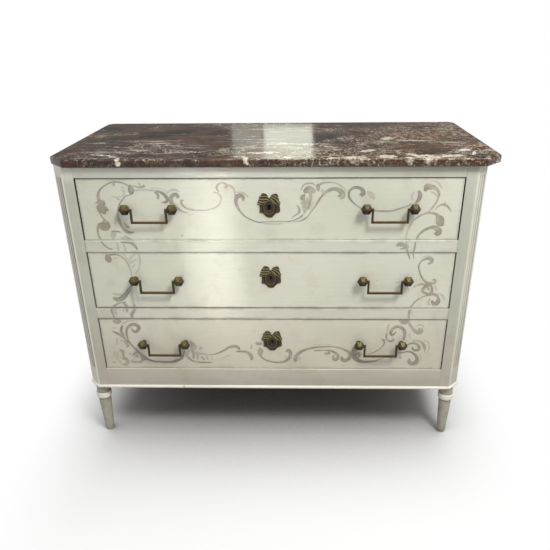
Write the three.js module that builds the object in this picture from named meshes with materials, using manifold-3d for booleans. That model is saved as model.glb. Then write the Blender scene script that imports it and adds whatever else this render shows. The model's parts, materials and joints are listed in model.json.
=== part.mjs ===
// A painted commode with a marble top: three drawers in a case with canted, fluted front corners,
// on four turned legs. Millimetres, +Z up, the front faces -Y.
import * as THREE from "three";
import { mergeVertices } from "three/addons/utils/BufferGeometryUtils.js";
import Module from "manifold-3d";

const wasm = await Module();
wasm.setup();

// Case
const openingWidth = 1000; // between the corner posts
const openingHeight = 169.8; // of each of the three drawer openings
const railHeight = 33.4; // the two rails between the drawers
const topRailHeight = 29.6;
const bottomRailHeight = 58.6;
const stileWidth = 30.3; // flat front face of a corner post
const cantWidth = 27.6; // the cant at each front corner, along X and along Y
const postDepth = 50;
const caseDepth = 531;
const sideThickness = 20;
const backThickness = 12;
const seam = 0.3; // between pieces that are glued, or rest on each other
const overrun = 1; // how far a cutting shape runs past the face that it cuts

// Joint between a rail and a corner post
const tenonLength = 14;
const tenonThickness = 12;
const tenonHeightShare = 0.6;

// Flutes in the cants
const fluteCount = 3;
const fluteWidth = 7.5;
const fluteDepth = 2.6;
const flutePitch = 11;
const fluteMargin = 2; // below the lowest opening, and above the highest

// Base board, whose edge is the bead under the case
const baseHeight = 9.5;
const beadProjection = 4;
const beadRound = 4.4; // height of each rounded half of the bead

// Marble
const slabThickness = 20;
const slabFrontOverhang = 15;
const slabSideOverhang = 19;
const slabBackOverhang = 12;
const slabCant = 45;
const slabRearClip = 11; // small cut at a rear corner, along X
const slabRearRun = 22; // and along Y
const slabRound = 6;
const slabShift = 13; // the loose slab lies this far to the right

// Legs
const legHeight = 176.5;
const legFromFace = 30; // axis to the front or back of the case
const legFromSide = 27;
const footRadius = 13.2;
const footRound = 3;
const taperTopRadius = 19.5;
const grooveDepth = 1.4;
const grooveHeight = 2.5;
const ringLevel = 127; // underside of the ring above the floor
const ringHeight = 20;
const ringRadius = 22.8;
const ringShoulder = 3;
const ringSteps = 6;
const neckRadius = 20.8;
const neckHollow = 1.2;
const spigotRadius = 10;

// Frames that the drawers run on
const frameThickness = 18;
const runnerWidth = 30; // from the guide's face into the opening
const rearRailWidth = 50;
const guideHeight = 30;
const guideClearance = 1;

// Drawers
const drawerRecess = 3.5; // the fronts lie behind the face of the case
const drawerGap = 2.5; // at the sides and the top of a front
const drawerFootGap = 1.5; // under a front
const frontThickness = 22;
const linerThickness = 12; // drawer sides and backs
const linerDrop = 12; // top of the sides below the top of the opening
const backDrop = 8; // top of the back below the top of the sides
const bottomThickness = 6;
const bottomLift = 10; // underside of the drawer bottom above the underside of the sides
const bottomTongue = 5; // how far the bottom enters its grooves
const stopGap = 0.5; // drawer sides to the back panel, where the drawer stops
const dovetailCount = 3;
const dovetailLap = 14; // how far the tails enter the front
const dovetailRootShare = 0.45;
const dovetailTipShare = 0.65;

// Handles
const handleInset = 184; // middle of a handle from the end of the drawer front
const handleDrop = 79.5; // pivots below the top of the opening
const pivotReach = 18.5; // pivots in front of the drawer's face
const postSpread = 61.5; // handle post from the middle of the handle
const knobRadius = 15.3; // across the corners of the six-sided knob, halved
const knobTipRadius = 5;
const knobTipReach = 12; // tip in front of the pivot
const knobRootReach = 8; // back of the knob behind the pivot
const knobBandHalf = 1.6; // half the width of the band round the knob
const collarRadius = 7.2;
const collarThickness = 2.5;
const shankRadius = 5;
const boltRadius = 3;
const boltClearance = 0.4;
const nutRadius = 7;
const nutThickness = 4;
const bailHalfWidth = 45.6; // middle of the bail to the middle of an upright
const bailDrop = 34.5; // pivots to the middle of the bar
const bailThickness = 5.6;
const pinRadius = 2;
const pinClearance = 0.35;
const pinEntry = 7; // how far a pin goes into the knob
const bearingGap = 0.5; // bail from the flat on the knob

// Escutcheons and keyholes
const plateWidth = 60.5;
const plateHeight = 65;
const plateThickness = 2.4;
const plateRound = 0.7;
const plateDrop = 73.3; // middle of the plate below the top of the opening
const collarHeight = 2;
const keyCollarWidth = 27;
const keyCollarHeight = 36;
const ribbonRadius = 2.6;
const keyDrop = 78.5; // middle of the keyhole below the top of the opening
const keyRadius = 4.5;
const keySlotWidth = 5;
const keyHeight = 16;

// Locks
const lockWidth = 66;
const lockHeight = 100;
const lockThickness = 10;
const boltWidth = 30;
const boltThickness = 5;
const boltHeight = 60;
const lockBoltThrow = 10;
const boltSlack = 0.3; // bolt in its case
const mortiseSlack = 2; // bolt in the rail

// Levels and half widths that follow from the sizes above
const openingHalf = openingWidth / 2;
const frontHalf = openingHalf + stileWidth;
const caseHalf = frontHalf + cantWidth;
const caseBottom = legHeight + seam + baseHeight + seam;
const openingPitch = openingHeight + railHeight;
const openingBottoms = [0, 1, 2].map((i) => caseBottom + bottomRailHeight + i * openingPitch);
const caseTop = openingBottoms[2] + openingHeight + topRailHeight;
const backFront = caseDepth - backThickness; // inner face of the back panel
const sideInner = caseHalf - sideThickness;
const slabBack = caseDepth + slabBackOverhang;
const knobFront = drawerRecess - pivotReach - knobTipReach;
const knobFlat = postSpread - bailHalfWidth - bailThickness / 2 - bearingGap; // from the knob's middle

// Finishes
const finish = (colour, roughness, metalness = 0) =>
  new THREE.MeshStandardMaterial({ color: colour, roughness, metalness });
const casePaint = finish(0xc3c4b5, 0.55);
const drawerPaint = finish(0xdedccd, 0.5);
const oak = finish(0xa98658, 0.7);
const marble = finish(0x5a413c, 0.15);
const brass = finish(0x6b5a2a, 0.4, 1);
const iron = finish(0x4a4642, 0.5, 1);

// A geometry as a closed body, for joining and cutting.
function bodyOf(geometry) {
  const bare = geometry.clone();
  bare.deleteAttribute("normal");
  bare.deleteAttribute("uv");
  const merged = mergeVertices(bare);
  return new wasm.Manifold(
    new wasm.Mesh({
      numProp: 3,
      vertProperties: merged.attributes.position.array,
      triVerts: new Uint32Array(merged.index.array),
    }),
  );
}

function geometryOf(body) {
  const mesh = body.getMesh();
  const geometry = new THREE.BufferGeometry();
  geometry.setAttribute("position", new THREE.BufferAttribute(mesh.vertProperties, mesh.numProp));
  geometry.setIndex(new THREE.BufferAttribute(mesh.triVerts, 1));
  geometry.computeVertexNormals();
  return geometry;
}

function join(first, ...others) {
  return geometryOf(others.reduce((body, other) => body.add(bodyOf(other)), bodyOf(first)));
}

function cut(first, ...tools) {
  return geometryOf(tools.reduce((body, tool) => body.subtract(bodyOf(tool)), bodyOf(first)));
}

// A rectangular block between two limits along each axis.
function block([x0, x1], [y0, y1], [z0, z1]) {
  const shape = new THREE.BoxGeometry(x1 - x0, y1 - y0, z1 - z0);
  return shape.translate((x0 + x1) / 2, (y0 + y1) / 2, (z0 + z1) / 2);
}

// A cylinder along +Y from one place to another.
function rodAlongY(radius, from, to, sides = 16) {
  return new THREE.CylinderGeometry(radius, radius, to - from, sides).translate(0, (from + to) / 2, 0);
}

// An outline in X and Y, raised along Z.
function raise(outline, height) {
  return new THREE.ExtrudeGeometry(new THREE.Shape(outline), { depth: height, bevelEnabled: false });
}

// An outline in X and Y raised along Z, whose edges are rounded inwards from the outline.
function raiseRounded(outline, height, inset, rise, steps = 3) {
  return new THREE.ExtrudeGeometry(new THREE.Shape(outline), {
    depth: height - 2 * rise,
    bevelThickness: rise,
    bevelSize: inset,
    bevelOffset: -inset,
    bevelSegments: steps,
  }).translate(0, 0, rise);
}

const points = (list) => list.map(([x, y]) => new THREE.Vector2(x, y));

const mirrored = (geometry) => {
  const copy = geometry.clone().scale(-1, 1, 1);
  const index = copy.index ? [...copy.index.array] : [...Array(copy.attributes.position.count).keys()];
  for (let i = 0; i < index.length; i += 3) {
    [index[i + 1], index[i + 2]] = [index[i + 2], index[i + 1]];
  }
  copy.setIndex(index);
  return copy;
};

const commode = new THREE.Group();

function add(parent, name, geometry, material, x = 0, y = 0, z = 0) {
  const mesh = new THREE.Mesh(geometry, material);
  mesh.name = name;
  mesh.position.set(x, y, z);
  parent.add(mesh);
  return mesh;
}

// Corner posts, with flutes cut into the cant and mortises for the rails
const railSpans = [
  ["bottom_rail", caseBottom, bottomRailHeight],
  ["lower_rail", openingBottoms[1] - railHeight, railHeight],
  ["upper_rail", openingBottoms[2] - railHeight, railHeight],
  ["top_rail", openingBottoms[2] + openingHeight, topRailHeight],
];

const tenonSpan = ([, bottom, height], slack) => {
  const half = (height * tenonHeightShare) / 2 + slack;
  return [bottom + height / 2 - half, bottom + height / 2 + half];
};

const tenonDepth = (slack) => {
  const half = tenonThickness / 2 + slack;
  return [postDepth / 2 - half, postDepth / 2 + half];
};

function fluteTools() {
  const radius = (fluteWidth ** 2 / 4 + fluteDepth ** 2) / (2 * fluteDepth);
  const proud = (radius - fluteDepth) * Math.SQRT1_2; // cutter's axis before the cant, along X and Y
  const bottom = openingBottoms[0] - fluteMargin;
  const top = openingBottoms[2] + openingHeight + fluteMargin;
  const straight = top - bottom - fluteWidth;
  return Array.from({ length: fluteCount }, (_, i) => {
    const along = cantWidth / 2 + (i - (fluteCount - 1) / 2) * flutePitch * Math.SQRT1_2;
    return new THREE.CapsuleGeometry(radius, straight, 4, 14)
      .rotateX(Math.PI / 2)
      .translate(frontHalf + along + proud, along - proud, (top + bottom) / 2);
  });
}

function cornerPost() {
  const outline = points([
    [openingHalf, 0],
    [frontHalf, 0],
    [caseHalf, cantWidth],
    [caseHalf, postDepth],
    [openingHalf, postDepth],
  ]);
  const mortiseReach = [openingHalf - overrun, openingHalf + tenonLength + seam];
  const mortises = railSpans.map((rail) => block(mortiseReach, tenonDepth(seam), tenonSpan(rail, seam)));
  const post = raise(outline, caseTop - caseBottom).translate(0, 0, caseBottom);
  return cut(post, ...mortises, ...fluteTools());
}

const rightPost = cornerPost();
add(commode, "right_corner_post", rightPost, casePaint);
add(commode, "left_corner_post", mirrored(rightPost), casePaint);

// Front rails, tenoned into the posts, with a mortise over each lock bolt
for (const rail of railSpans) {
  const [name, bottom, height] = rail;
  const half = openingHalf - seam;
  const tenonHalf = openingHalf + tenonLength;
  const bar = join(
    block([-half, half], [0, postDepth], [bottom, bottom + height]),
    block([-tenonHalf, tenonHalf], tenonDepth(0), tenonSpan(rail, 0)),
  );
  const boltFront = drawerRecess + frontThickness - lockThickness / 2 - boltThickness / 2;
  const mortise = block(
    [-boltWidth / 2 - mortiseSlack, boltWidth / 2 + mortiseSlack],
    [boltFront - mortiseSlack, boltFront + boltThickness + mortiseSlack],
    [bottom - overrun, bottom + lockBoltThrow + mortiseSlack],
  );
  add(commode, name, name === "bottom_rail" ? bar : cut(bar, mortise), casePaint);
}

// Sides and back
const sideBoard = block([sideInner, caseHalf], [postDepth + seam, caseDepth], [caseBottom, caseTop]);
add(commode, "right_side_panel", sideBoard, casePaint);
add(commode, "left_side_panel", mirrored(sideBoard), casePaint);
add(
  commode,
  "back_panel",
  block([seam - sideInner, sideInner - seam], [backFront, caseDepth], [caseBottom, caseTop]),
  casePaint,
);

// Base board and legs
const legX = caseHalf - legFromSide;
const legPlaces = [
  ["front_left_leg", -legX, legFromFace],
  ["front_right_leg", legX, legFromFace],
  ["rear_left_leg", -legX, caseDepth - legFromFace],
  ["rear_right_leg", legX, caseDepth - legFromFace],
];

function baseBoard() {
  const out = beadProjection;
  const cantCorner = out * Math.tan(Math.PI / 8); // where two edges moved out by the bead meet again
  const right = [
    [frontHalf + cantCorner, -out],
    [caseHalf + out, cantWidth - cantCorner],
    [caseHalf + out, caseDepth],
  ];
  const left = right.map(([x, y]) => [-x, y]).reverse();
  const board = raiseRounded(points([...right, ...left]), baseHeight, beadProjection, beadRound);
  const holes = legPlaces.map(([, x, y]) =>
    new THREE.CylinderGeometry(spigotRadius + seam, spigotRadius + seam, baseHeight + 2 * overrun, 20)
      .rotateX(Math.PI / 2)
      .translate(x, y, baseHeight / 2),
  );
  return cut(board, ...holes);
}

add(commode, "base_board", baseBoard(), casePaint, 0, 0, legHeight + seam);

function turnedLeg() {
  const ringMiddle = ringLevel + ringHeight / 2;
  const ringBase = ringRadius - ringShoulder;
  const ring = Array.from({ length: ringSteps + 1 }, (_, i) => {
    const angle = (i / ringSteps - 1 / 2) * Math.PI;
    return [ringBase + ringShoulder * Math.cos(angle), ringMiddle + (ringHeight / 2) * Math.sin(angle)];
  });
  const neckBottom = ringLevel + ringHeight + grooveHeight;
  const neckMiddle = (neckBottom + legHeight) / 2;
  const profile = [
    [0, 0],
    [footRadius - footRound, 0],
    [footRadius - footRound / 3, footRound / 3],
    [footRadius, footRound],
    [taperTopRadius, ringLevel - grooveHeight],
    [taperTopRadius - grooveDepth, ringLevel - grooveHeight / 2],
    [taperTopRadius - grooveDepth, ringLevel],
    ...ring,
    [ringBase, neckBottom],
    [neckRadius - neckHollow, (neckBottom + neckMiddle) / 2],
    [neckRadius - neckHollow, (legHeight + neckMiddle) / 2],
    [neckRadius, legHeight],
    [spigotRadius, legHeight],
    [spigotRadius, legHeight + seam + baseHeight],
    [0, legHeight + seam + baseHeight],
  ];
  return new THREE.LatheGeometry(points(profile), 20).rotateX(Math.PI / 2);
}

const leg = turnedLeg();
for (const [name, x, y] of legPlaces) {
  add(commode, name, leg, casePaint, x, y);
}

// Marble slab
function slab() {
  const front = -slabFrontOverhang;
  const half = caseHalf + slabSideOverhang;
  const right = [
    [half - slabCant, front],
    [half, front + slabCant],
    [half, slabBack - slabRearRun],
    [half - slabRearClip, slabBack],
  ];
  const left = right.map(([x, y]) => [-x, y]).reverse();
  return raiseRounded(points([...right, ...left]), slabThickness, slabRound, slabRound);
}

add(commode, "marble_top", slab(), marble, slabShift, 0, caseTop + seam);

// Drawer frames: two runners with guides on them, and a rear cross rail
function runnerFrame() {
  const outer = sideInner - seam;
  const guideInner = openingHalf - drawerGap + guideClearance;
  const front = postDepth + seam;
  const rear = backFront - seam;
  const runner = block([guideInner - runnerWidth, outer], [front, rear], [-frameThickness, 0]);
  const guide = block([guideInner, outer], [front, rear], [-frameThickness / 2, guideHeight]);
  const cross = block([-outer, outer], [rear - rearRailWidth, rear], [-frameThickness, 0]);
  return join(runner, guide, mirrored(runner), mirrored(guide), cross);
}

const levels = ["lower", "middle", "upper"];
const frame = runnerFrame();
levels.forEach((level, i) => add(commode, level + "_runner_frame", frame, oak, 0, 0, openingBottoms[i]));

// Drawer boards. A drawer's own frame has its origin on the opening's bottom edge, at the front's face.
const drawerHalf = openingHalf - drawerGap;
const handleReach = drawerHalf - handleInset;
const sideBottom = seam;
const sideTop = openingHeight - linerDrop;
const sideEnd = backFront - stopGap - drawerRecess;
const grooveBottom = sideBottom + bottomLift;
const backBottom = grooveBottom + bottomThickness + 2 * seam;
const backTop = sideTop - backDrop;
const tailPitch = (backTop - backBottom) / dovetailCount;

// Outline of one tail in Y and Z, from one distance past its root to another.
function tail(i, root, length, direction, from, to, slack) {
  const middle = backBottom + (i + 1 / 2) * tailPitch;
  const flareShare = dovetailTipShare - dovetailRootShare;
  const halfWidth = (d) => (tailPitch / 2) * (dovetailRootShare + (flareShare * d) / length) + slack;
  return [
    [root + direction * from, middle - direction * halfWidth(from)],
    [root + direction * to, middle - direction * halfWidth(to)],
    [root + direction * to, middle + direction * halfWidth(to)],
    [root + direction * from, middle + direction * halfWidth(from)],
  ];
}

// An outline in Y and Z, given a thickness along X.
function thicken(outline, [x0, x1]) {
  return raise(points(outline), x1 - x0)
    .rotateY(Math.PI / 2)
    .rotateX(Math.PI / 2)
    .translate(x0, 0, 0);
}

const bottomGroove = (from, to) => {
  const front = frontThickness - bottomTongue - seam;
  return block([from, to], [front, sideEnd + overrun], [grooveBottom, backBottom - seam]);
};

const tailNumbers = Array.from({ length: dovetailCount }, (_, i) => i);

function drawerSide() {
  const frontRoot = frontThickness + seam;
  const rearRoot = sideEnd - linerThickness;
  const frontTail = (i) => tail(i, frontRoot, dovetailLap, -1, 0, dovetailLap, 0);
  const rearTail = (i) => tail(i, rearRoot, linerThickness, 1, 0, linerThickness, 0);
  const outline = [
    [frontRoot, sideBottom],
    [sideEnd, sideBottom],
    [sideEnd, backBottom - seam],
    [rearRoot, backBottom - seam],
    ...tailNumbers.flatMap(rearTail),
    [rearRoot, backTop + seam],
    [sideEnd, backTop + seam],
    [sideEnd, sideTop],
    [frontRoot, sideTop],
    ...tailNumbers.flatMap((i) => frontTail(i).reverse()).reverse(),
  ];
  const inner = drawerHalf - linerThickness;
  const groove = bottomGroove(inner - overrun, inner + bottomTongue + seam);
  return cut(thicken(outline, [inner, drawerHalf]), groove);
}

function tailSockets(root, length, direction, reach) {
  const inner = drawerHalf - linerThickness - seam;
  const right = tailNumbers.map((i) => {
    const outline = tail(i, root, length, direction, -overrun, reach, seam);
    return thicken(direction > 0 ? outline : outline.reverse(), [inner, drawerHalf + overrun]);
  });
  return [...right, ...right.map(mirrored)];
}

// A keyhole cut along Y: a round hole over a slot.
function keyhole(depth) {
  const top = keyHeight / 2 - keyRadius;
  const half = keySlotWidth / 2;
  const slot = block([-half, half], [-overrun, depth + overrun], [-keyHeight / 2, top]);
  return join(rodAlongY(keyRadius, -overrun, depth + overrun).translate(0, 0, top), slot);
}

const handleZ = openingHeight - handleDrop;
const keyZ = openingHeight - keyDrop;
const frontTop = openingHeight - drawerGap;
const ends = [-1, 1];
const postPlaces = ends.flatMap((side) => ends.map((end) => side * handleReach + end * postSpread));

function drawerFront() {
  const board = block([-drawerHalf, drawerHalf], [0, frontThickness], [drawerFootGap, frontTop]);
  const lockSeat = block(
    [-lockWidth / 2 - seam, lockWidth / 2 + seam],
    [frontThickness - lockThickness - seam, frontThickness + overrun],
    [frontTop - lockHeight - seam, frontTop + overrun],
  );
  const boltHole = rodAlongY(boltRadius + boltClearance, -overrun, frontThickness + overrun, 12);
  const boltHoles = postPlaces.map((x) => boltHole.clone().translate(x, 0, handleZ));
  const keyWay = keyhole(frontThickness).translate(0, 0, keyZ);
  const groove = bottomGroove(bottomTongue - drawerHalf, drawerHalf - bottomTongue);
  const sockets = tailSockets(frontThickness + seam, dovetailLap, -1, dovetailLap + seam);
  return cut(board, lockSeat, groove, keyWay, ...boltHoles, ...sockets);
}

function drawerBack() {
  const root = sideEnd - linerThickness;
  const board = block([-drawerHalf, drawerHalf], [root + seam, sideEnd], [backBottom, backTop]);
  return cut(board, ...tailSockets(root, linerThickness, 1, linerThickness + overrun));
}

function drawerBottom() {
  const half = drawerHalf - linerThickness + bottomTongue;
  return block(
    [-half, half],
    [frontThickness - bottomTongue, sideEnd],
    [grooveBottom + seam, grooveBottom + seam + bottomThickness],
  );
}

// Handle post: a six-sided knob on a shank, with its bolt and nut. Its origin is the pivot. Its inner
// corner is cut to a flat, where the pin hole opens towards the middle of the handle.
function handlePost(towards) {
  const face = pivotReach;
  const nutFace = face + frontThickness + seam;
  const profile = points([
    [0, -knobTipReach],
    [knobTipRadius, -knobTipReach],
    [knobRadius, -knobBandHalf],
    [knobRadius, knobBandHalf],
    [shankRadius, knobRootReach],
    [0, knobRootReach],
  ]);
  const knob = new THREE.LatheGeometry(profile, 6, Math.PI / 2);
  const collar = rodAlongY(collarRadius, face - seam - collarThickness, face - seam);
  const shank = rodAlongY(shankRadius, knobRootReach - overrun, face - seam, 12);
  const bolt = rodAlongY(boltRadius, face - seam - overrun, nutFace + nutThickness, 12);
  const nut = rodAlongY(nutRadius, nutFace, nutFace + nutThickness, 6);
  const holeRadius = pinRadius + pinClearance;
  const holeLength = pinEntry + seam + overrun;
  const pinHole = new THREE.CylinderGeometry(holeRadius, holeRadius, holeLength, 12)
    .rotateZ(Math.PI / 2)
    .translate(-towards * (knobFlat + overrun - holeLength / 2), 0, 0);
  const corner = block([knobFlat, knobRadius + overrun], [-knobTipReach, knobRootReach], [-knobRadius, knobRadius]);
  const cornerCut = towards < 0 ? corner : mirrored(corner);
  return cut(join(knob, collar, shank, bolt, nut), cornerCut, pinHole);
}

// Bail: a bar, two uprights and two pins turned outwards. Its origin is the middle of its pivot axis.
function bail() {
  const half = bailThickness / 2;
  const outer = bailHalfWidth + half;
  const bar = block([-outer, outer], [-half, half], [-bailDrop - half, half - bailDrop]);
  const upright = block([bailHalfWidth - half, outer], [-half, half], [-bailDrop, half]);
  const pinEnd = postSpread - knobFlat + pinEntry;
  const pin = new THREE.CylinderGeometry(pinRadius, pinRadius, pinEnd - bailHalfWidth, 12)
    .rotateZ(Math.PI / 2)
    .translate((bailHalfWidth + pinEnd) / 2, 0, 0);
  return join(bar, upright, mirrored(upright), pin, mirrored(pin));
}

// Escutcheon: half of its outline as shares of half the width and height, from the notch to the foot.
const plateHalfShares = [
  [0, 0.57],
  [0.11, 0.72],
  [0.2, 0.88],
  [0.4, 0.97],
  [0.62, 1],
  [0.69, 0.86],
  [0.82, 0.68],
  [0.87, 0.42],
  [1, 0.1],
  [0.85, 0.02],
  [0.82, -0.3],
  [0.86, -0.56],
  [0.66, -0.62],
  [0.5, -0.74],
  [0.28, -0.93],
  [0, -1],
];
const ribbonShares = [
  [0.4, 0.72],
  [0.6, 0.42],
  [0.7, 0.1],
]; // places of the folds of the bow
const ribbonLengthShare = 0.3;

function escutcheon() {
  const inset = plateRound;
  const halfWidth = plateWidth / 2;
  const halfHeight = plateHeight / 2;
  const right = plateHalfShares.map(([x, z]) => [x * halfWidth, z * halfHeight]);
  const left = right
    .slice(1, -1)
    .map(([x, z]) => [-x, z])
    .reverse();
  const outline = points([...right, ...left].reverse());
  const plate = raiseRounded(outline, plateThickness, inset, plateRound, 1)
    .rotateX(Math.PI / 2)
    .translate(0, -seam, 0);
  const front = -seam - plateThickness;
  const keyOffset = plateDrop - keyDrop;
  const collar = rodAlongY(1, front - collarHeight, front + plateRound, 20)
    .scale(keyCollarWidth / 2, 1, keyCollarHeight / 2)
    .translate(0, 0, keyOffset);
  const folds = ribbonShares.map(([x, z]) =>
    new THREE.CapsuleGeometry(ribbonRadius, ribbonLengthShare * halfWidth, 2, 6)
      .rotateZ(-Math.PI / 3)
      .rotateX(Math.PI / 2)
      .translate(x * halfWidth - ribbonRadius / 2, -seam - ribbonRadius, z * halfHeight),
  );
  const hole = keyhole(plateThickness + collarHeight).translate(0, front - collarHeight, keyOffset);
  return cut(join(plate, collar, ...folds, ...folds.map(mirrored)), hole);
}

// Lock case, open at the top for the bolt, and the bolt. Their origin is on the front's back face.
function lockCase() {
  const side = lockWidth / 2;
  const body = block([-side, side], [-lockThickness, 0], [frontTop - lockHeight, frontTop]);
  const half = boltThickness / 2 + boltSlack;
  const slot = block(
    [-boltWidth / 2 - boltSlack, boltWidth / 2 + boltSlack],
    [-lockThickness / 2 - half, half - lockThickness / 2],
    [frontTop - boltHeight - boltSlack, frontTop + overrun],
  );
  return cut(body, slot, keyhole(lockThickness / 2).translate(0, -lockThickness, keyZ));
}

const lockBolt = block(
  [-boltWidth / 2, boltWidth / 2],
  [-lockThickness / 2 - boltThickness / 2, boltThickness / 2 - lockThickness / 2],
  [frontTop - boltHeight, frontTop],
);

// The drawers
const rightSide = drawerSide();
const boards = {
  drawer_front: [drawerFront(), drawerPaint],
  drawer_right_side: [rightSide, oak],
  drawer_left_side: [mirrored(rightSide), oak],
  drawer_back: [drawerBack(), oak],
  drawer_bottom: [drawerBottom(), oak],
};
const bailShape = bail();
const postShapes = { left: handlePost(-1), right: handlePost(1) };
const plateShape = escutcheon();
const lockShape = lockCase();

levels.forEach((level, i) => {
  const drawer = new THREE.Group();
  drawer.position.set(0, drawerRecess, openingBottoms[i]);
  commode.add(drawer);
  for (const [name, [geometry, material]] of Object.entries(boards)) {
    add(drawer, level + "_" + name, geometry, material);
  }
  for (const [side, x] of [
    ["left", -handleReach],
    ["right", handleReach],
  ]) {
    const handle = new THREE.Group();
    handle.position.set(x, -pivotReach, handleZ);
    drawer.add(handle);
    add(handle, `${level}_${side}_bail`, bailShape, brass);
    add(handle, `${level}_${side}_handle_left_post`, postShapes.left, brass, -postSpread);
    add(handle, `${level}_${side}_handle_right_post`, postShapes.right, brass, postSpread);
  }
  add(drawer, level + "_escutcheon", plateShape, brass, 0, 0, openingHeight - plateDrop);
  add(drawer, level + "_lock_case", lockShape, iron, 0, frontThickness);
  add(drawer, level + "_lock_bolt", lockBolt, iron, 0, frontThickness);
});

// The origin is on the floor, under the middle of the whole object.
commode.position.set(-slabShift, -(knobFront + slabBack) / 2, 0);

const part = new THREE.Group();
part.add(commode);

export default part;
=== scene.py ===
import json
import math
import bmesh
import bpy
import numpy as np
from mathutils import Matrix, Vector

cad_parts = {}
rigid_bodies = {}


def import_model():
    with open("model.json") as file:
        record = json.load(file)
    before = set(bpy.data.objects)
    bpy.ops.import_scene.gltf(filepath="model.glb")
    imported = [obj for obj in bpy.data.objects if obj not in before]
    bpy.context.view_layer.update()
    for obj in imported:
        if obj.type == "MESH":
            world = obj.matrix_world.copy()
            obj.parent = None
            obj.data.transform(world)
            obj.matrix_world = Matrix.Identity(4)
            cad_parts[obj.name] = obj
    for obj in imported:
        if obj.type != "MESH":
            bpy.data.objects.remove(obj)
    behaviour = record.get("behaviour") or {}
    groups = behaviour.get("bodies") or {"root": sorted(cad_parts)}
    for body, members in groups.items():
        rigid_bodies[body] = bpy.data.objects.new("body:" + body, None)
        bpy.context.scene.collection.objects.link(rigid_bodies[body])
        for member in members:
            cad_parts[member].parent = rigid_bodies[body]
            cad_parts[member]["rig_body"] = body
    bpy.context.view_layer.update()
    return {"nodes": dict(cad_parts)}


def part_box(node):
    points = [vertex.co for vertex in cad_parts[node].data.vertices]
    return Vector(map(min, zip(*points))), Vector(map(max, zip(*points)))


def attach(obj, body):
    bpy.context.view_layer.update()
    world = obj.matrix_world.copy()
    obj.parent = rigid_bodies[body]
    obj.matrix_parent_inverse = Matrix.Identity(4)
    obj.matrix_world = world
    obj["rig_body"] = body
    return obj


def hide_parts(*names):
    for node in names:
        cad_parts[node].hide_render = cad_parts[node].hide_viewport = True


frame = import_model()
mm = 0.001
levels = ["lower", "middle", "upper"]
sides = ["left", "right"]
print("the frame is in:", len(frame["nodes"]), "pieces")


# Helpers for modelling

# a painted piece has the material of its face, then that of its rounded edges, then bare wood
faceSlot, edgeSlot, bareSlot = 0, 1, 2
# keeps what the neighbouring faces have
sameSlot = -1


def alone(piece):
    bpy.ops.object.select_all(action="DESELECT")
    piece.select_set(True)
    bpy.context.view_layer.objects.active = piece


def edit(piece, mode="EDGE"):
    alone(piece)
    bpy.ops.object.mode_set(mode="EDIT")
    bpy.ops.mesh.select_mode(type=mode)
    bpy.ops.mesh.select_all(action="DESELECT")
    return bmesh.from_edit_mesh(piece.data)


def done(piece, turnOut=False):
    if turnOut:
        bpy.ops.mesh.select_all(action="SELECT")
        bpy.ops.mesh.normals_make_consistent(inside=False)
    bpy.ops.object.mode_set(mode="OBJECT")
    return piece


def placed(name, data):
    # an object for the data, in the scene
    piece = bpy.data.objects.new(name, data)
    bpy.context.scene.collection.objects.link(piece)
    return piece


def add(primitive, name, materials, scale=(1, 1, 1), **settings):
    # a primitive made into a piece, with its place in its mesh
    bpy.ops.object.select_all(action="DESELECT")
    primitive(**settings)
    piece = bpy.context.object
    piece.name = name
    piece.data.name = name
    piece.scale = scale
    bpy.ops.object.transform_apply(location=True, rotation=True, scale=True)
    for material in materials:
        piece.data.materials.append(material)
    return piece


def smooth(piece, degrees=32):
    alone(piece)
    bpy.ops.object.shade_smooth_by_angle(angle=math.radians(degrees))
    return piece


def dress(piece, node):
    # the piece stands for a node and moves with the node's body
    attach(piece, frame["nodes"][node]["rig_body"])
    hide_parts(node)
    return piece


merging = {"distance": 0.02, "degrees": 0.6}


def copyOf(node, name, materials):
    # a merged copy of a node, ready to be shaped
    piece = placed(name, frame["nodes"][node].data.copy())
    piece.data.materials.clear()
    for material in materials:
        piece.data.materials.append(material)
    alone(piece)
    bpy.ops.mesh.customdata_custom_splitnormals_clear()
    edit(piece)
    bpy.ops.mesh.select_all(action="SELECT")
    bpy.ops.mesh.remove_doubles(threshold=merging["distance"] * mm)
    bpy.ops.mesh.dissolve_limited(angle_limit=math.radians(merging["degrees"]))
    return done(piece)


def soften(piece, width, keep, segments=2, slot=edgeSlot, sharp=30):
    # rounds the sharp edges that keep picks by their two ends
    mesh = edit(piece)
    for edge in mesh.edges:
        if len(edge.link_faces) == 2 and edge.calc_face_angle() > math.radians(sharp):
            edge.select = bool(keep(edge.verts[0].co, edge.verts[1].co))
    bmesh.update_edit_mesh(piece.data)
    settings = {"segments": segments, "profile": 0.6, "clamp_overlap": True, "material": slot}
    bpy.ops.mesh.bevel(offset=width, affect="EDGES", **settings)
    return done(piece)


def bareWhere(piece, slot, test):
    # faces that were never painted
    for face in piece.data.polygons:
        if test(face.center, face.normal):
            face.material_index = slot
    return piece


def record(piece, name, values, domain="POINT"):
    attribute = piece.data.attributes.new(name, "FLOAT", domain)
    attribute.data.foreach_set("value", np.asarray(values, np.float32))


def corners(piece):
    spots = np.empty(len(piece.data.vertices) * 3)
    piece.data.vertices.foreach_get("co", spots)
    return spots.reshape(-1, 3) / mm


# Helpers for materials

def tint(red, green, blue):
    # a colour as a picture shows it, made linear
    return (*(((part / 255 + 0.055) / 1.055) ** 2.4 for part in (red, green, blue)), 1.0)


class Wire:
    # one output of a node, which Python's own sums can use
    def __init__(self, shop, socket):
        self.shop = shop
        self.socket = socket

    def __add__(self, other):
        return self.shop.sum("ADD", self, other)

    def __sub__(self, other):
        return self.shop.sum("SUBTRACT", self, other)

    def __rsub__(self, other):
        return self.shop.sum("SUBTRACT", other, self)

    def __mul__(self, other):
        return self.shop.sum("MULTIPLY", self, other)

    def __abs__(self):
        return self.shop.sum("ABSOLUTE", self)

    __radd__ = __add__
    __rmul__ = __mul__


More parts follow.
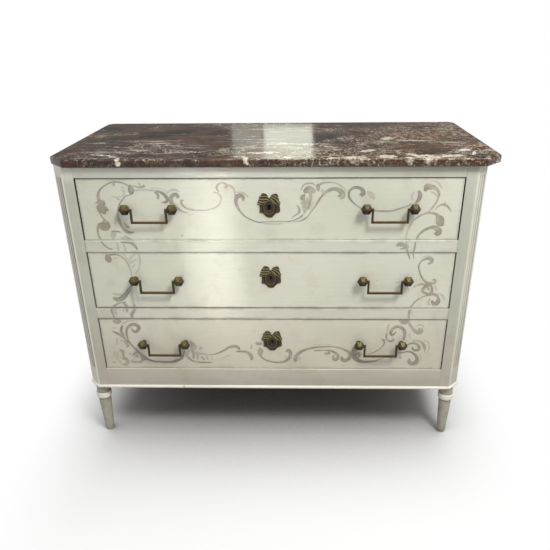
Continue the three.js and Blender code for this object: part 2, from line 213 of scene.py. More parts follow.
class Shop:
    # a material, or the world, while it is made
    def __init__(self, owner):
        owner.use_nodes = True
        self.owner = owner
        self.tree = owner.node_tree
        self.tree.nodes.clear()

    def node(self, kind, settings=None, sockets=None, out=0):
        made = self.tree.nodes.new(kind)
        for key, value in (settings or {}).items():
            setattr(made, key, value)
        for key, value in (sockets or {}).items():
            if isinstance(value, Wire):
                self.tree.links.new(value.socket, made.inputs[key])
            else:
                made.inputs[key].default_value = value
        return Wire(self, made.outputs[out]) if made.outputs else made

    def sum(self, operation, *values):
        return self.node("ShaderNodeMath", {"operation": operation}, dict(enumerate(values)))

    def most(self, *values):
        top = values[0]
        for value in values[1:]:
            top = self.sum("MAXIMUM", top, value)
        return top

    def at(self):
        return self.node("ShaderNodeTexCoord", out="Object")

    def apart(self, vector):
        split = self.node("ShaderNodeSeparateXYZ", None, {0: vector})
        return [Wire(self, socket) for socket in split.socket.node.outputs]

    def vector(self, operation, *values, out=0):
        return self.node("ShaderNodeVectorMath", {"operation": operation}, dict(enumerate(values)), out)

    def stretch(self, vector, factors):
        return self.vector("MULTIPLY", vector, factors)

    def noise(self, vector, scale, detail=4.0, rough=0.55, out="Fac"):
        sockets = {"Vector": vector, "Scale": scale, "Detail": detail, "Roughness": rough}
        return self.node("ShaderNodeTexNoise", None, sockets, out)

    def wobble(self, vector, scale, amount, detail=3.0):
        # the vector pushed about by a noise
        push = self.vector("SUBTRACT", self.noise(vector, scale, detail, out="Color"), (0.5, 0.5, 0.5))
        return self.vector("MULTIPLY_ADD", push, (amount, amount, amount), vector)

    def fade(self, value, low, high):
        # 0 below low, 1 above high
        sockets = {"Value": value, "From Min": low, "From Max": high}
        return self.node("ShaderNodeMapRange", {"interpolation_type": "SMOOTHSTEP"}, sockets)

    def between(self, value, span):
        # the same for a value in metres and a span in millimetres
        return self.fade(value, span[0] * mm, span[1] * mm)

    def band(self, value, spans):
        # 1 after the first span and before the second, in millimetres
        return self.between(value, spans[:2]) * (1 - self.between(value, spans[2:]))

    def blend(self, share, first, second, kind="MIX"):
        sockets = {0: share, 6: first, 7: second}
        return self.node("ShaderNodeMix", {"data_type": "RGBA", "blend_type": kind}, sockets, 2)

    def stain(self, share, first, second):
        return self.blend(share, first, second, "MULTIPLY")

    def read(self, name):
        return self.node("ShaderNodeAttribute", {"attribute_name": name}, None, "Fac")

    def bump(self, height, distance, strength):
        sockets = {"Height": height, "Distance": distance * mm, "Strength": strength}
        return self.node("ShaderNodeBump", None, sockets)

    def shader(self, colour, kind="Emission"):
        # one that needs only a colour
        return self.node("ShaderNode" + kind, None, {"Color": colour})

    def inSight(self):
        # 1 for rays from the camera, and for those of reflections and of glass
        rays = ("Is Camera Ray", "Is Glossy Ray", "Is Transmission Ray")
        return self.most(*[self.node("ShaderNodeLightPath", out=name) for name in rays])

    def close(self, surface, kind="Material"):
        self.node("ShaderNodeOutput" + kind, None, {"Surface": surface})
        return self.owner

    def finish(self, sockets):
        return self.close(self.node("ShaderNodeBsdfPrincipled", None, sockets))


def newShop(name):
    return Shop(bpy.data.materials.new(name))


# Paint: old distemper in soft colours, brushed along each board

paintLook = {
    "frame": tint(208, 208, 193),
    # painted light: the top rail's paint is paler than the frame's, against the slab's shadow
    "topRail": tint(240, 239, 224),
    "rail": tint(221, 220, 204),
    "drawer": tint(225, 224, 207),
    "bead": tint(252, 249, 236),
    "edge": tint(244, 241, 226),
    "warmStain": tint(206, 192, 160),
    "lowShadeTint": tint(211, 180, 175),
    "coolStain": tint(196, 202, 188),
    "ink": tint(120, 104, 92),
    "coolInk": tint(110, 107, 94),
    "wash": tint(176, 166, 150),
    "chipWood": tint(112, 90, 62),
    "grime": tint(92, 86, 68),
    # painted shade for the flutes and the drawers' gaps
    "darkShade": tint(70, 70, 54),
    # painted shade, greyer towards the right on the top rail and the right post
    "rightShadeTint": tint(158, 166, 158),
    # distances from the middle, depths and heights in millimetres, most as spans to fade over
    "lowSpan": (200, 560),
    "rightSpan": (0, 100),
    "underSlab": (800, 838),
    "rightShadeSpan": (60, 400),
    "arrisReach": 530.3,
    "arrisFront": 258,
    "arrisRubAndHighlight": (2.0, 4.2),
    "cantSpan": (531.1, 531.7),
    "flutesSpan": (530.3, 559.3),
    "fluteDepth": (0.7, 1.5),
    "openingReach": (498.5, 500),
    "jointDrop": 0.9,
    "jointSpan": (1.0, 1.6),
    "jointPales": (50, 450),
    "topSpan": (1.0, 1.8),
    "rimSpan": (0.0, 8.0),
    # added to the ornament's depth, which is less than 0 outside it
    "inkShift": 6.0,
}
caseMiddle = (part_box("bottom_rail")[0].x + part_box("bottom_rail")[1].x) / 2
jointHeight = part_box("middle_drawer_front")[0].z - paintLook["jointDrop"] * mm
drawerTops = [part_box(level + "_drawer_front")[1].z for level in ("lower", "upper")]


def wearAndLightPost(shop, body, spot, patch, low, right):
    # the arris is painted pale, partly as wear and partly as painted highlight, and the cant is painted
    # pale as painted highlight, less so to the right and lower down
    look = paintLook
    x, y = spot[:2]
    reach = abs(x - caseMiddle)
    canted = shop.between(reach, look["cantSpan"])
    arris = 1 - shop.between(abs(reach - look["arrisReach"] * mm), look["arrisRubAndHighlight"])
    rubbedAndLit = (0.75 + patch * 0.4) * (1 - right * 0.6)
    body = shop.blend(arris * rubbedAndLit, body, look["edge"])
    body = shop.blend(canted * (0.95 - right * 0.5 - low * 0.35), body, look["edge"])
    # painted shade lies in the flutes, most of it in the right-hand ones of each cant
    sunk = (y + (look["arrisReach"] + look["arrisFront"]) * mm - reach) * math.sqrt(0.5)
    outward = shop.between(reach, look["flutesSpan"])
    rightward = 1 - outward - right + outward * right * 2
    fluteShade = (0.55 + patch * 0.5) * (1 - right * 0.4) * (0.25 + rightward * 0.95)
    return shop.blend(canted * shop.between(sunk, look["fluteDepth"]) * fluteShade, body, look["darkShade"])


def inkOrnament(shop, body, at, patch):
    # the depth inside the ornament's outline, in millimetres, and its strength
    look = paintLook
    ink = shop.read("ink") - look["inkShift"] + (patch - 0.5) * 2.0
    tone = shop.read("tone")
    wash = shop.fade(ink, -4.6, -0.4) * tone * 0.20
    inside = shop.fade(ink, -0.8, 0.7)
    pooled = 1 - shop.fade(ink, 0.6, 3.4) * 0.22
    watery = 1 - shop.fade(shop.noise(at, 48.0, 3.0), 0.42, 0.70) * 0.38
    cool = shop.fade(shop.noise(at, 5.0, 2.0), 0.42, 0.58)
    body = shop.blend(wash, body, look["wash"])
    pigment = shop.blend(cool, look["ink"], look["coolInk"])
    return shop.blend(inside * pooled * watery * tone * 0.94, body, pigment)


def soilRim(shop, body, at):
    # dirt lies along the edges of a painted sheet
    rim = 1 - shop.fade(shop.read("rim"), *paintLook["rimSpan"])
    darkening = rim * shop.fade(shop.noise(at, 30.0, 3.0), 0.36, 0.66)
    return shop.blend(darkening * 0.34, body, paintLook["grime"])


def shadeJoints(shop, body, spot):
    # painted shadow on the rail's edge under the middle drawer, and on the other drawers' top edges
    look = paintLook
    x, z = spot[0], spot[2]
    strength = 0.68 - shop.between(x, look["jointPales"]) * 0.3
    joint = (1 - shop.between(abs(z - jointHeight), look["jointSpan"])) * strength
    for top in drawerTops:
        joint = joint + (1 - shop.between(abs(z - top), look["topSpan"])) * 0.45
    within = 1 - shop.between(abs(x - caseMiddle), look["openingReach"])
    return shop.blend(joint * within, body, look["darkShade"])


def paint(name, colour, brushing, worn=0.0, inked=False, fluted=False, lowShade=0.30, streaks=0.08,
        rightShade=0.0, jointed=False):
    look = paintLook
    shop = newShop(name)
    at = shop.at()
    spot = shop.apart(at)
    x, z = spot[0], spot[2]
    cloud = shop.noise(at, 3.1, 3.0)
    patch = shop.noise(at, 17.0, 4.0, 0.6)
    brush = shop.noise(shop.stretch(at, brushing), 1.0, 3.0, 0.6)
    grain = shop.noise(at, 900.0, 2.0)
    if fluted:
        # painted light: the left post is as pale as the top rail beside it under the slab, against the
        # slab's shadow
        right = shop.between(x, look["rightSpan"])
        pale = shop.between(z, look["underSlab"]) * (1 - right)
        colour = shop.blend(pale, colour, look["topRail"])
    body = shop.stain(shop.fade(cloud, 0.36, 0.62) * 0.22, colour, look["coolStain"])
    body = shop.stain(shop.fade(patch, 0.50, 0.74) * 0.20, body, look["warmStain"])
    body = shop.stain(shop.fade(brush, 0.35, 0.75) * streaks, body, look["grime"])
    # painted shade: darker and warmer towards the floor
    low = 1 - shop.between(z, look["lowSpan"])
    body = shop.stain(low * lowShade, body, look["lowShadeTint"])
    specks = shop.fade(shop.noise(at, 160.0, 2.0), 0.72, 0.76) * shop.fade(patch, 0.48, 0.60)
    if rightShade > 0:
        # painted shade: greyer towards the right
        rightShading = shop.between(x, look["rightShadeSpan"]) * (1 - low) * rightShade
        body = shop.stain(rightShading, body, look["rightShadeTint"])
    if fluted:
        body = wearAndLightPost(shop, body, spot, patch, low, right)
    if inked:
        body = soilRim(shop, inkOrnament(shop, body, at, patch), at)
    if worn > 0:
        rub = shop.fade(shop.noise(at, 75.0, 5.0, 0.7), 0.66 - worn * 0.16, 0.70 - worn * 0.10)
        body = shop.blend(rub * 0.6, body, look["chipWood"])
    if jointed:
        # painted shadow in the drawers' gaps
        body = shadeJoints(shop, body, spot)
    body = shop.blend(specks * 0.5, body, look["chipWood"])
    relief = shop.noise(shop.stretch(at, brushing), 2.4, 2.0) * 0.7 + grain * 0.3
    return shop.finish({
        "Base Color": body,
        "Roughness": 0.44 + patch * 0.18,
        "Normal": shop.bump(relief, 0.3, 0.3),
        "Specular IOR Level": 0.35,
    })


along, upright = (9.0, 60.0, 320.0), (320.0, 60.0, 9.0)
# the top rail is painted paler against the slab's shadow, and greyer towards the right as painted shade
framePaint = paint("framePaint", paintLook["topRail"], along, rightShade=0.42)
lowRailPaint = paint("lowRailPaint", paintLook["frame"], along)
postPaint = paint("postPaint", paintLook["frame"], upright, fluted=True, rightShade=0.17)
sidePaint = paint("sidePaint", paintLook["frame"], upright)
# the rounded edges are painted paler than the faces, partly as wear and partly as painted highlight
edgePaint = paint("edgePaint", paintLook["edge"], along, worn=0.12, lowShade=0.15, jointed=True)
beadPaint = paint("beadPaint", paintLook["bead"], along, worn=0.08, lowShade=0.0)
drawerPaint = paint("drawerPaint", paintLook["drawer"], along, inked=True, streaks=0.045, jointed=True)
railPaint = paint("railPaint", paintLook["rail"], along, inked=True, jointed=True)


legLook = {
    "shaft": tint(186, 180, 164),
    "shade": tint(150, 148, 126),
    "ring": tint(240, 238, 222),
    "neck": tint(176, 172, 152),
    "groove": tint(92, 86, 70),
    "foot": tint(120, 110, 88),
    # heights above the floor in millimetres, as spans to fade over
    "onRing": (125.5, 127.5, 146.5, 148.5),
    "onNeck": (147.5, 150.0),
    "grooves": ((122.6, 123.8, 126.4, 127.6), (146.2, 147.4, 148.2, 150.0)),
    "shadeUnderBoard": (164, 176),
    "scuffed": (0, 20),
}


def legPaint():
    look = legLook
    shop = newShop("legPaint")
    at = shop.at()
    z = shop.apart(at)[2]
    patch = shop.noise(at, 30.0, 4.0, 0.6)
    streak = shop.noise(shop.stretch(at, (260.0, 260.0, 16.0)), 1.0, 3.0)
    body = shop.blend(shop.fade(patch, 0.38, 0.66) * 0.6, look["shaft"], look["shade"])
    body = shop.stain(shop.fade(streak, 0.4, 0.8) * 0.25, body, paintLook["grime"])
    body = shop.blend(shop.band(z, look["onRing"]), body, look["ring"])
    body = shop.blend(shop.between(z, look["onNeck"]), body, look["neck"])
    # painted shade in the grooves and under the base board
    grooves = shop.most(*[shop.band(z, spans) for spans in look["grooves"]])
    body = shop.blend(grooves * (0.6 + patch * 0.5), body, look["groove"])
    body = shop.blend(shop.between(z, look["shadeUnderBoard"]) * 0.75, body, look["groove"])
    scuff = (1 - shop.between(z, look["scuffed"])) * shop.fade(patch, 0.36, 0.56)
    body = shop.blend(scuff * 0.8, body, look["foot"])
    chips = shop.fade(shop.noise(at, 110.0, 4.0, 0.7), 0.65, 0.69)
    body = shop.blend(chips * 0.5, body, paintLook["chipWood"])
    return shop.finish({
        "Base Color": body,
        "Roughness": 0.5 + patch * 0.15,
        "Normal": shop.bump(streak + patch * 0.6, 0.3, 0.4),
        "Specular IOR Level": 0.35,
    })


# Oak, plain and old, with painted shade beside the drawers' gaps

oakLook = {
    "light": tint(176, 142, 98),
    "dark": tint(126, 94, 58),
    "pore": tint(58, 42, 26),
    "stain": tint(120, 100, 78),
    "nearBlack": tint(36, 32, 26),
    "paleGapShade": tint(146, 141, 124),
    # depth and height in millimetres, as spans to fade over
    "gapSpan": (-249, -242),
    "gapShadeSpan": (360, 860),
}


def oak(name, grain):
    # the grain runs the way in which its factor is small
    look = oakLook
    shop = newShop(name)
    at = shop.at()
    y, z = shop.apart(at)[1:]
    bent = shop.wobble(at, 5.0, 0.02)
    fibre = shop.noise(shop.stretch(bent, grain), 1.0, 5.0, 0.65)
    figure = shop.noise(shop.stretch(bent, grain), 0.22, 3.0)
    pores = shop.noise(shop.stretch(at, tuple(part * 3 for part in grain)), 1.0, 2.0)
    pores = shop.fade(pores, 0.60, 0.70)
    stain = shop.noise(at, 6.0, 3.0)
    body = shop.blend(shop.fade(figure, 0.38, 0.66), look["light"], look["dark"])
    body = shop.blend(shop.fade(fibre, 0.35, 0.75) * 0.45, body, look["dark"])
    body = shop.blend(pores * 0.5, body, look["pore"])
    body = shop.stain(shop.fade(stain, 0.45, 0.75) * 0.4, body, look["stain"])
    # painted shade on the bare wood in the drawers' gaps: near black up high, greyer lower down
    front = 1 - shop.between(y, look["gapSpan"])
    darkening = shop.blend(shop.between(z, look["gapShadeSpan"]), look["paleGapShade"], look["nearBlack"])
    body = shop.blend(front * 0.94, body, darkening)
    return shop.finish({
        "Base Color": body,
        "Roughness": 0.68 + fibre * 0.16,
        "Normal": shop.bump(fibre - pores * 0.5, 0.4, 0.5),
        "Specular IOR Level": 0.25,
    })


oakAcross = oak("oakAcross", (9.0, 240.0, 240.0))
oakDeep = oak("oakDeep", (240.0, 9.0, 240.0))
legFinish = legPaint()
print("paint and wood are mixed")


# Marble: a dark breccia, with patches and veins where the slab shows them

marbleLook = {
    "dark": tint(34, 22, 16),
    "brown": tint(102, 70, 50),
    "violet": tint(88, 66, 64),
    "grey": tint(138, 132, 108),
    "rust": tint(122, 68, 44),
    "cream": tint(230, 219, 196),
    "white": tint(234, 232, 230),
    "red": tint(82, 38, 28),
    "edge": tint(54, 38, 24),
    # depth, width and height in millimetres, as spans to fade over
    "frontSpan": (-260, -20),
    "rightSpan": (-100, 300),
    "farRightSpan": (250, 500),
    "rustSpan": (50, 400),
    "sideSpan": (868.0, 870.8),
    # where a patch's edge fades, as shares of its half sizes
    "patchEdge": (0.70, 1.10),
    # middle x, y and z and half sizes, all in millimetres, and the turn in degrees
    "creams": {
        "leftVein": (-392, -262, 866, 8, 26, 14, 22),
        "leftVeinTail": (-412, -236, 871, 7, 20, 8, 52),
        "middleVein": (-72, -255, 868, 8, 30, 12, 18),
        "innerVein": (36, -255, 868, 8, 14, 9, 0),
        "rightPatch": (388, -248, 867, 40, 26, 11, -4),
        "rightPatchTwo": (352, -228, 871, 16, 20, 6, 40),
        "rightEdge": (338, -262, 866, 14, 12, 13, 10),
        "longLine": (60, -83, 871, 112, 5, 6, -1),
        "lineEnd": (142, -118, 871, 34, 6, 6, -28),
        "pinkLine": (396, -40, 871, 60, 6, 6, -6),
        "creamBlots": (318, -6, 871, 30, 16, 6, 55),
        "leftLine": (-345, -66, 871, 58, 4, 6, 4),
        "leftLineTwo": (-300, -98, 871, 44, 3, 6, 2),
        "frontLine": (-352, -162, 871, 46, 4, 6, -8),
        "frontLineTwo": (-225, -184, 871, 38, 4, 6, 0),
        "palePool": (245, -175, 871, 26, 14, 6, 30),
        "cornerBlots": (-445, -218, 871, 40, 6, 6, -16),
        "frontPatch": (204, -258, 868, 34, 18, 12, 4),
        "frontPatchTwo": (150, -262, 868, 22, 12, 8, 0),
        "frontPatchThree": (286, -246, 871, 26, 20, 6, -12),
        "rightBlots": (446, -241, 871, 40, 15, 6, 10),
        "middleBlots": (-36, -196, 871, 56, 13, 6, 6),
    },
    "whites": {
        "whitePatch": (497, -170, 871, 22, 14, 6, 30),
        "whiteTail": (512, -205, 871, 6, 28, 6, -22),
        "whiteFleck": (300, -60, 871, 18, 5, 6, 12),
    },
    "reds": {
        "leftCorner": (-500, -272, 861, 26, 12, 12, 0),
        "rightCorner": (548, -252, 860, 18, 26, 14, 0),
        "rightRed": (308, -272, 863, 14, 8, 10, 0),
        "rightBrown": (505, -272, 861, 16, 8, 10, 0),
    },
}


def patches(shop, at, spots):
    # 1 inside any of the spots
    reach = None
    for x, y, z, halfX, halfY, halfZ, turn in spots.values():
        middle, half = (x * mm, y * mm, z * mm), (halfX * mm, halfY * mm, halfZ * mm)
        sockets = {0: at, 1: middle, 2: (0, 0, math.radians(turn)), 3: half}
        local = shop.node("ShaderNodeMapping", {"vector_type": "TEXTURE"}, sockets)
        away = shop.vector("LENGTH", local, out="Value")
        reach = away if reach is None else shop.sum("MINIMUM", reach, away)
    return 1 - shop.fade(reach, *marbleLook["patchEdge"])


def marble():
    look = marbleLook
    shop = newShop("marble")
    at = shop.at()
    x, y, z = shop.apart(at)
    bent = shop.wobble(at, 9.0, 0.05)
    cloud = shop.noise(shop.stretch(bent, (1.0, 1.7, 1.0)), 5.0, 5.0, 0.62)
    mottle = shop.noise(bent, 42.0, 5.0, 0.72)
    sockets = {"Vector": shop.wobble(at, 30.0, 0.030), "Scale": 46.0}
    clast = shop.apart(shop.node("ShaderNodeTexVoronoi", {"feature": "F1"}, sockets, "Color"))[0]
    fine = shop.noise(at, 150.0, 5.0, 0.75)
    # busy is 1 where the stone is broken up: towards the front and the right
    crowd = (1 - shop.between(y, look["frontSpan"])) * 0.08
    crowd = crowd + shop.between(x, look["rightSpan"]) * 0.05
    crowd = crowd + shop.between(x, look["farRightSpan"]) * 0.03
    busy = shop.fade(shop.noise(at, 6.0, 4.0, 0.6) + crowd, 0.48, 0.66)
    body = shop.blend(shop.fade(cloud, 0.40, 0.58), look["dark"], look["brown"])
    body = shop.blend(shop.fade(shop.noise(bent, 3.4, 3.0), 0.42, 0.60) * 0.7, body, look["violet"])
    body = shop.blend(shop.fade(mottle, 0.54, 0.64) * (0.20 + busy * 0.30), body, look["grey"])
    body = shop.blend(shop.fade(clast, 0.72, 0.95) * (0.15 + busy * 0.40), body, look["grey"])
    body = shop.blend((1 - shop.fade(mottle, 0.38, 0.50)) * 0.75, body, look["dark"])
    rusty = shop.between(x, look["rustSpan"]) * shop.fade(shop.noise(bent, 6.0, 4.0), 0.46, 0.62)
    body = shop.blend(rusty * 0.6, body, look["rust"])
    body = shop.blend((1 - shop.fade(fine, 0.34, 0.46)) * 0.7, body, look["dark"])
    # thin light seams where the stone is broken up, and drawn-out lines
    seam = abs(shop.noise(shop.wobble(at, 24.0, 0.03), 30.0, 3.0, 0.6) - 0.5)
    seams = (1 - shop.fade(seam, 0.006, 0.030)) * busy
    flow = shop.stretch(shop.wobble(at, 13.0, 0.045), (2.4, 19.0, 10.0))
    line = abs(shop.noise(flow, 1.0, 3.0, 0.5) - 0.5)
    crumbled = shop.fade(shop.noise(at, 210.0, 3.0, 0.7), 0.40, 0.53)
    drawn = shop.fade(shop.noise(at, 4.3, 2.0), 0.44, 0.58)
    lines = (1 - shop.fade(line, 0.003, 0.020)) * drawn * crumbled
    flecks = shop.fade(fine + busy * 0.07, 0.635, 0.71)
    body = shop.blend(shop.most(seams * 0.60, lines * 0.80), body, look["cream"])
    # the patches' edges are broken by a noise
    ragged = shop.wobble(at, 60.0, 0.024, 4.0)
    reds, creams, whites = (patches(shop, ragged, look[kind]) for kind in ("reds", "creams", "whites"))
    speckle = shop.noise(at, 130.0, 3.0, 0.65)
    torn = shop.fade(speckle, 0.38, 0.50)
    # the sawn sides are darker than the polished top
    side = 1 - shop.between(z, look["sideSpan"])
    body = shop.blend(side * shop.fade(fine, 0.66, 0.50) * 0.75, body, look["edge"])
    body = shop.blend(reds * shop.fade(mottle, 0.42, 0.52) * 0.85, body, look["red"])
    body = shop.blend(creams * torn, body, look["cream"])
    body = shop.blend(whites * shop.fade(speckle, 0.30, 0.42), body, look["white"])
    body = shop.blend(flecks * 0.7, body, look["cream"])
    return shop.finish({
        "Base Color": body,
        "Roughness": 0.09 + shop.fade(cloud, 0.3, 0.7) * 0.06,
        "Normal": shop.bump(speckle, 0.05, 0.2),
        "Specular IOR Level": 0.27,
    })


marbleStone = marble()


# Brass: gilding long gone, olive patina, with painted light on the handles: lighter on what faces up,
# brown-black beneath

brassLook = {
    "olive": tint(100, 94, 50),
    "golden": tint(128, 100, 60),
    "rubbedAndLit": tint(160, 150, 116),
    "brown": tint(70, 56, 30),
    "nearBlack": tint(20, 16, 9),
}


def brass(name, raised, sheen):
    # raised is the attribute that is 1 on rubbed metal and, as painted light, on metal facing the light,
    # and 0 in hollows and, as painted shade, underneath
    look = brassLook
    shop = newShop(name)
    at = shop.at()
    high = shop.read(raised)
    blotch = shop.noise(at, 120.0, 4.0, 0.65)
    fine = shop.noise(at, 700.0, 3.0, 0.6)
    level = high + (blotch - 0.5) * 0.30
    body = shop.blend(shop.fade(level, 0.22, 0.58), look["nearBlack"], look["brown"])
    body = shop.blend(shop.fade(level, 0.56, 0.86), body, sheen)
    body = shop.blend(shop.fade(level, 0.98, 1.18) * 0.8, body, look["rubbedAndLit"])
    body = shop.blend(shop.fade(fine, 0.55, 0.75) * 0.3, body, look["brown"])
    return shop.finish({
        "Base Color": body,
        "Metallic": 0.18 + shop.fade(level, 0.6, 1.1) * 0.34,
        "Specular IOR Level": 0.35,
        "Roughness": 0.50 - shop.fade(level, 0.5, 1.0) * 0.12 + blotch * 0.1,
        "Normal": shop.bump(fine * 0.6 + blotch, 0.12, 0.5),
    })


handleBrass = brass("handleBrass", "patinaAndSheen", brassLook["olive"])
bailBrass = brass("bailBrass", "patinaAndSheen", brassLook["golden"])
plateBrass = brass("plateBrass", "relief", brassLook["olive"])


ironLook = {"steel": tint(88, 84, 80), "rust": tint(92, 60, 40)}


def iron():
    shop = newShop("lockIron")
    at = shop.at()
    rust = shop.noise(at, 60.0, 5.0, 0.65)
    scratch = shop.noise(shop.stretch(at, (900.0, 60.0, 60.0)), 1.0, 3.0)
    return shop.finish({
        "Base Color": shop.blend(shop.fade(rust, 0.42, 0.68), ironLook["steel"], ironLook["rust"]),
        "Metallic": 0.75 - shop.fade(rust, 0.45, 0.65) * 0.5,
        "Roughness": 0.42 + rust * 0.3,
        "Normal": shop.bump(rust + scratch * 0.4, 0.15, 0.5),
    })


lockIron = iron()
print("marble, brass and iron are mixed")


# The painted ornament: each stroke has its strength, then points across and above
# the floor with the brush's half width, in millimetres

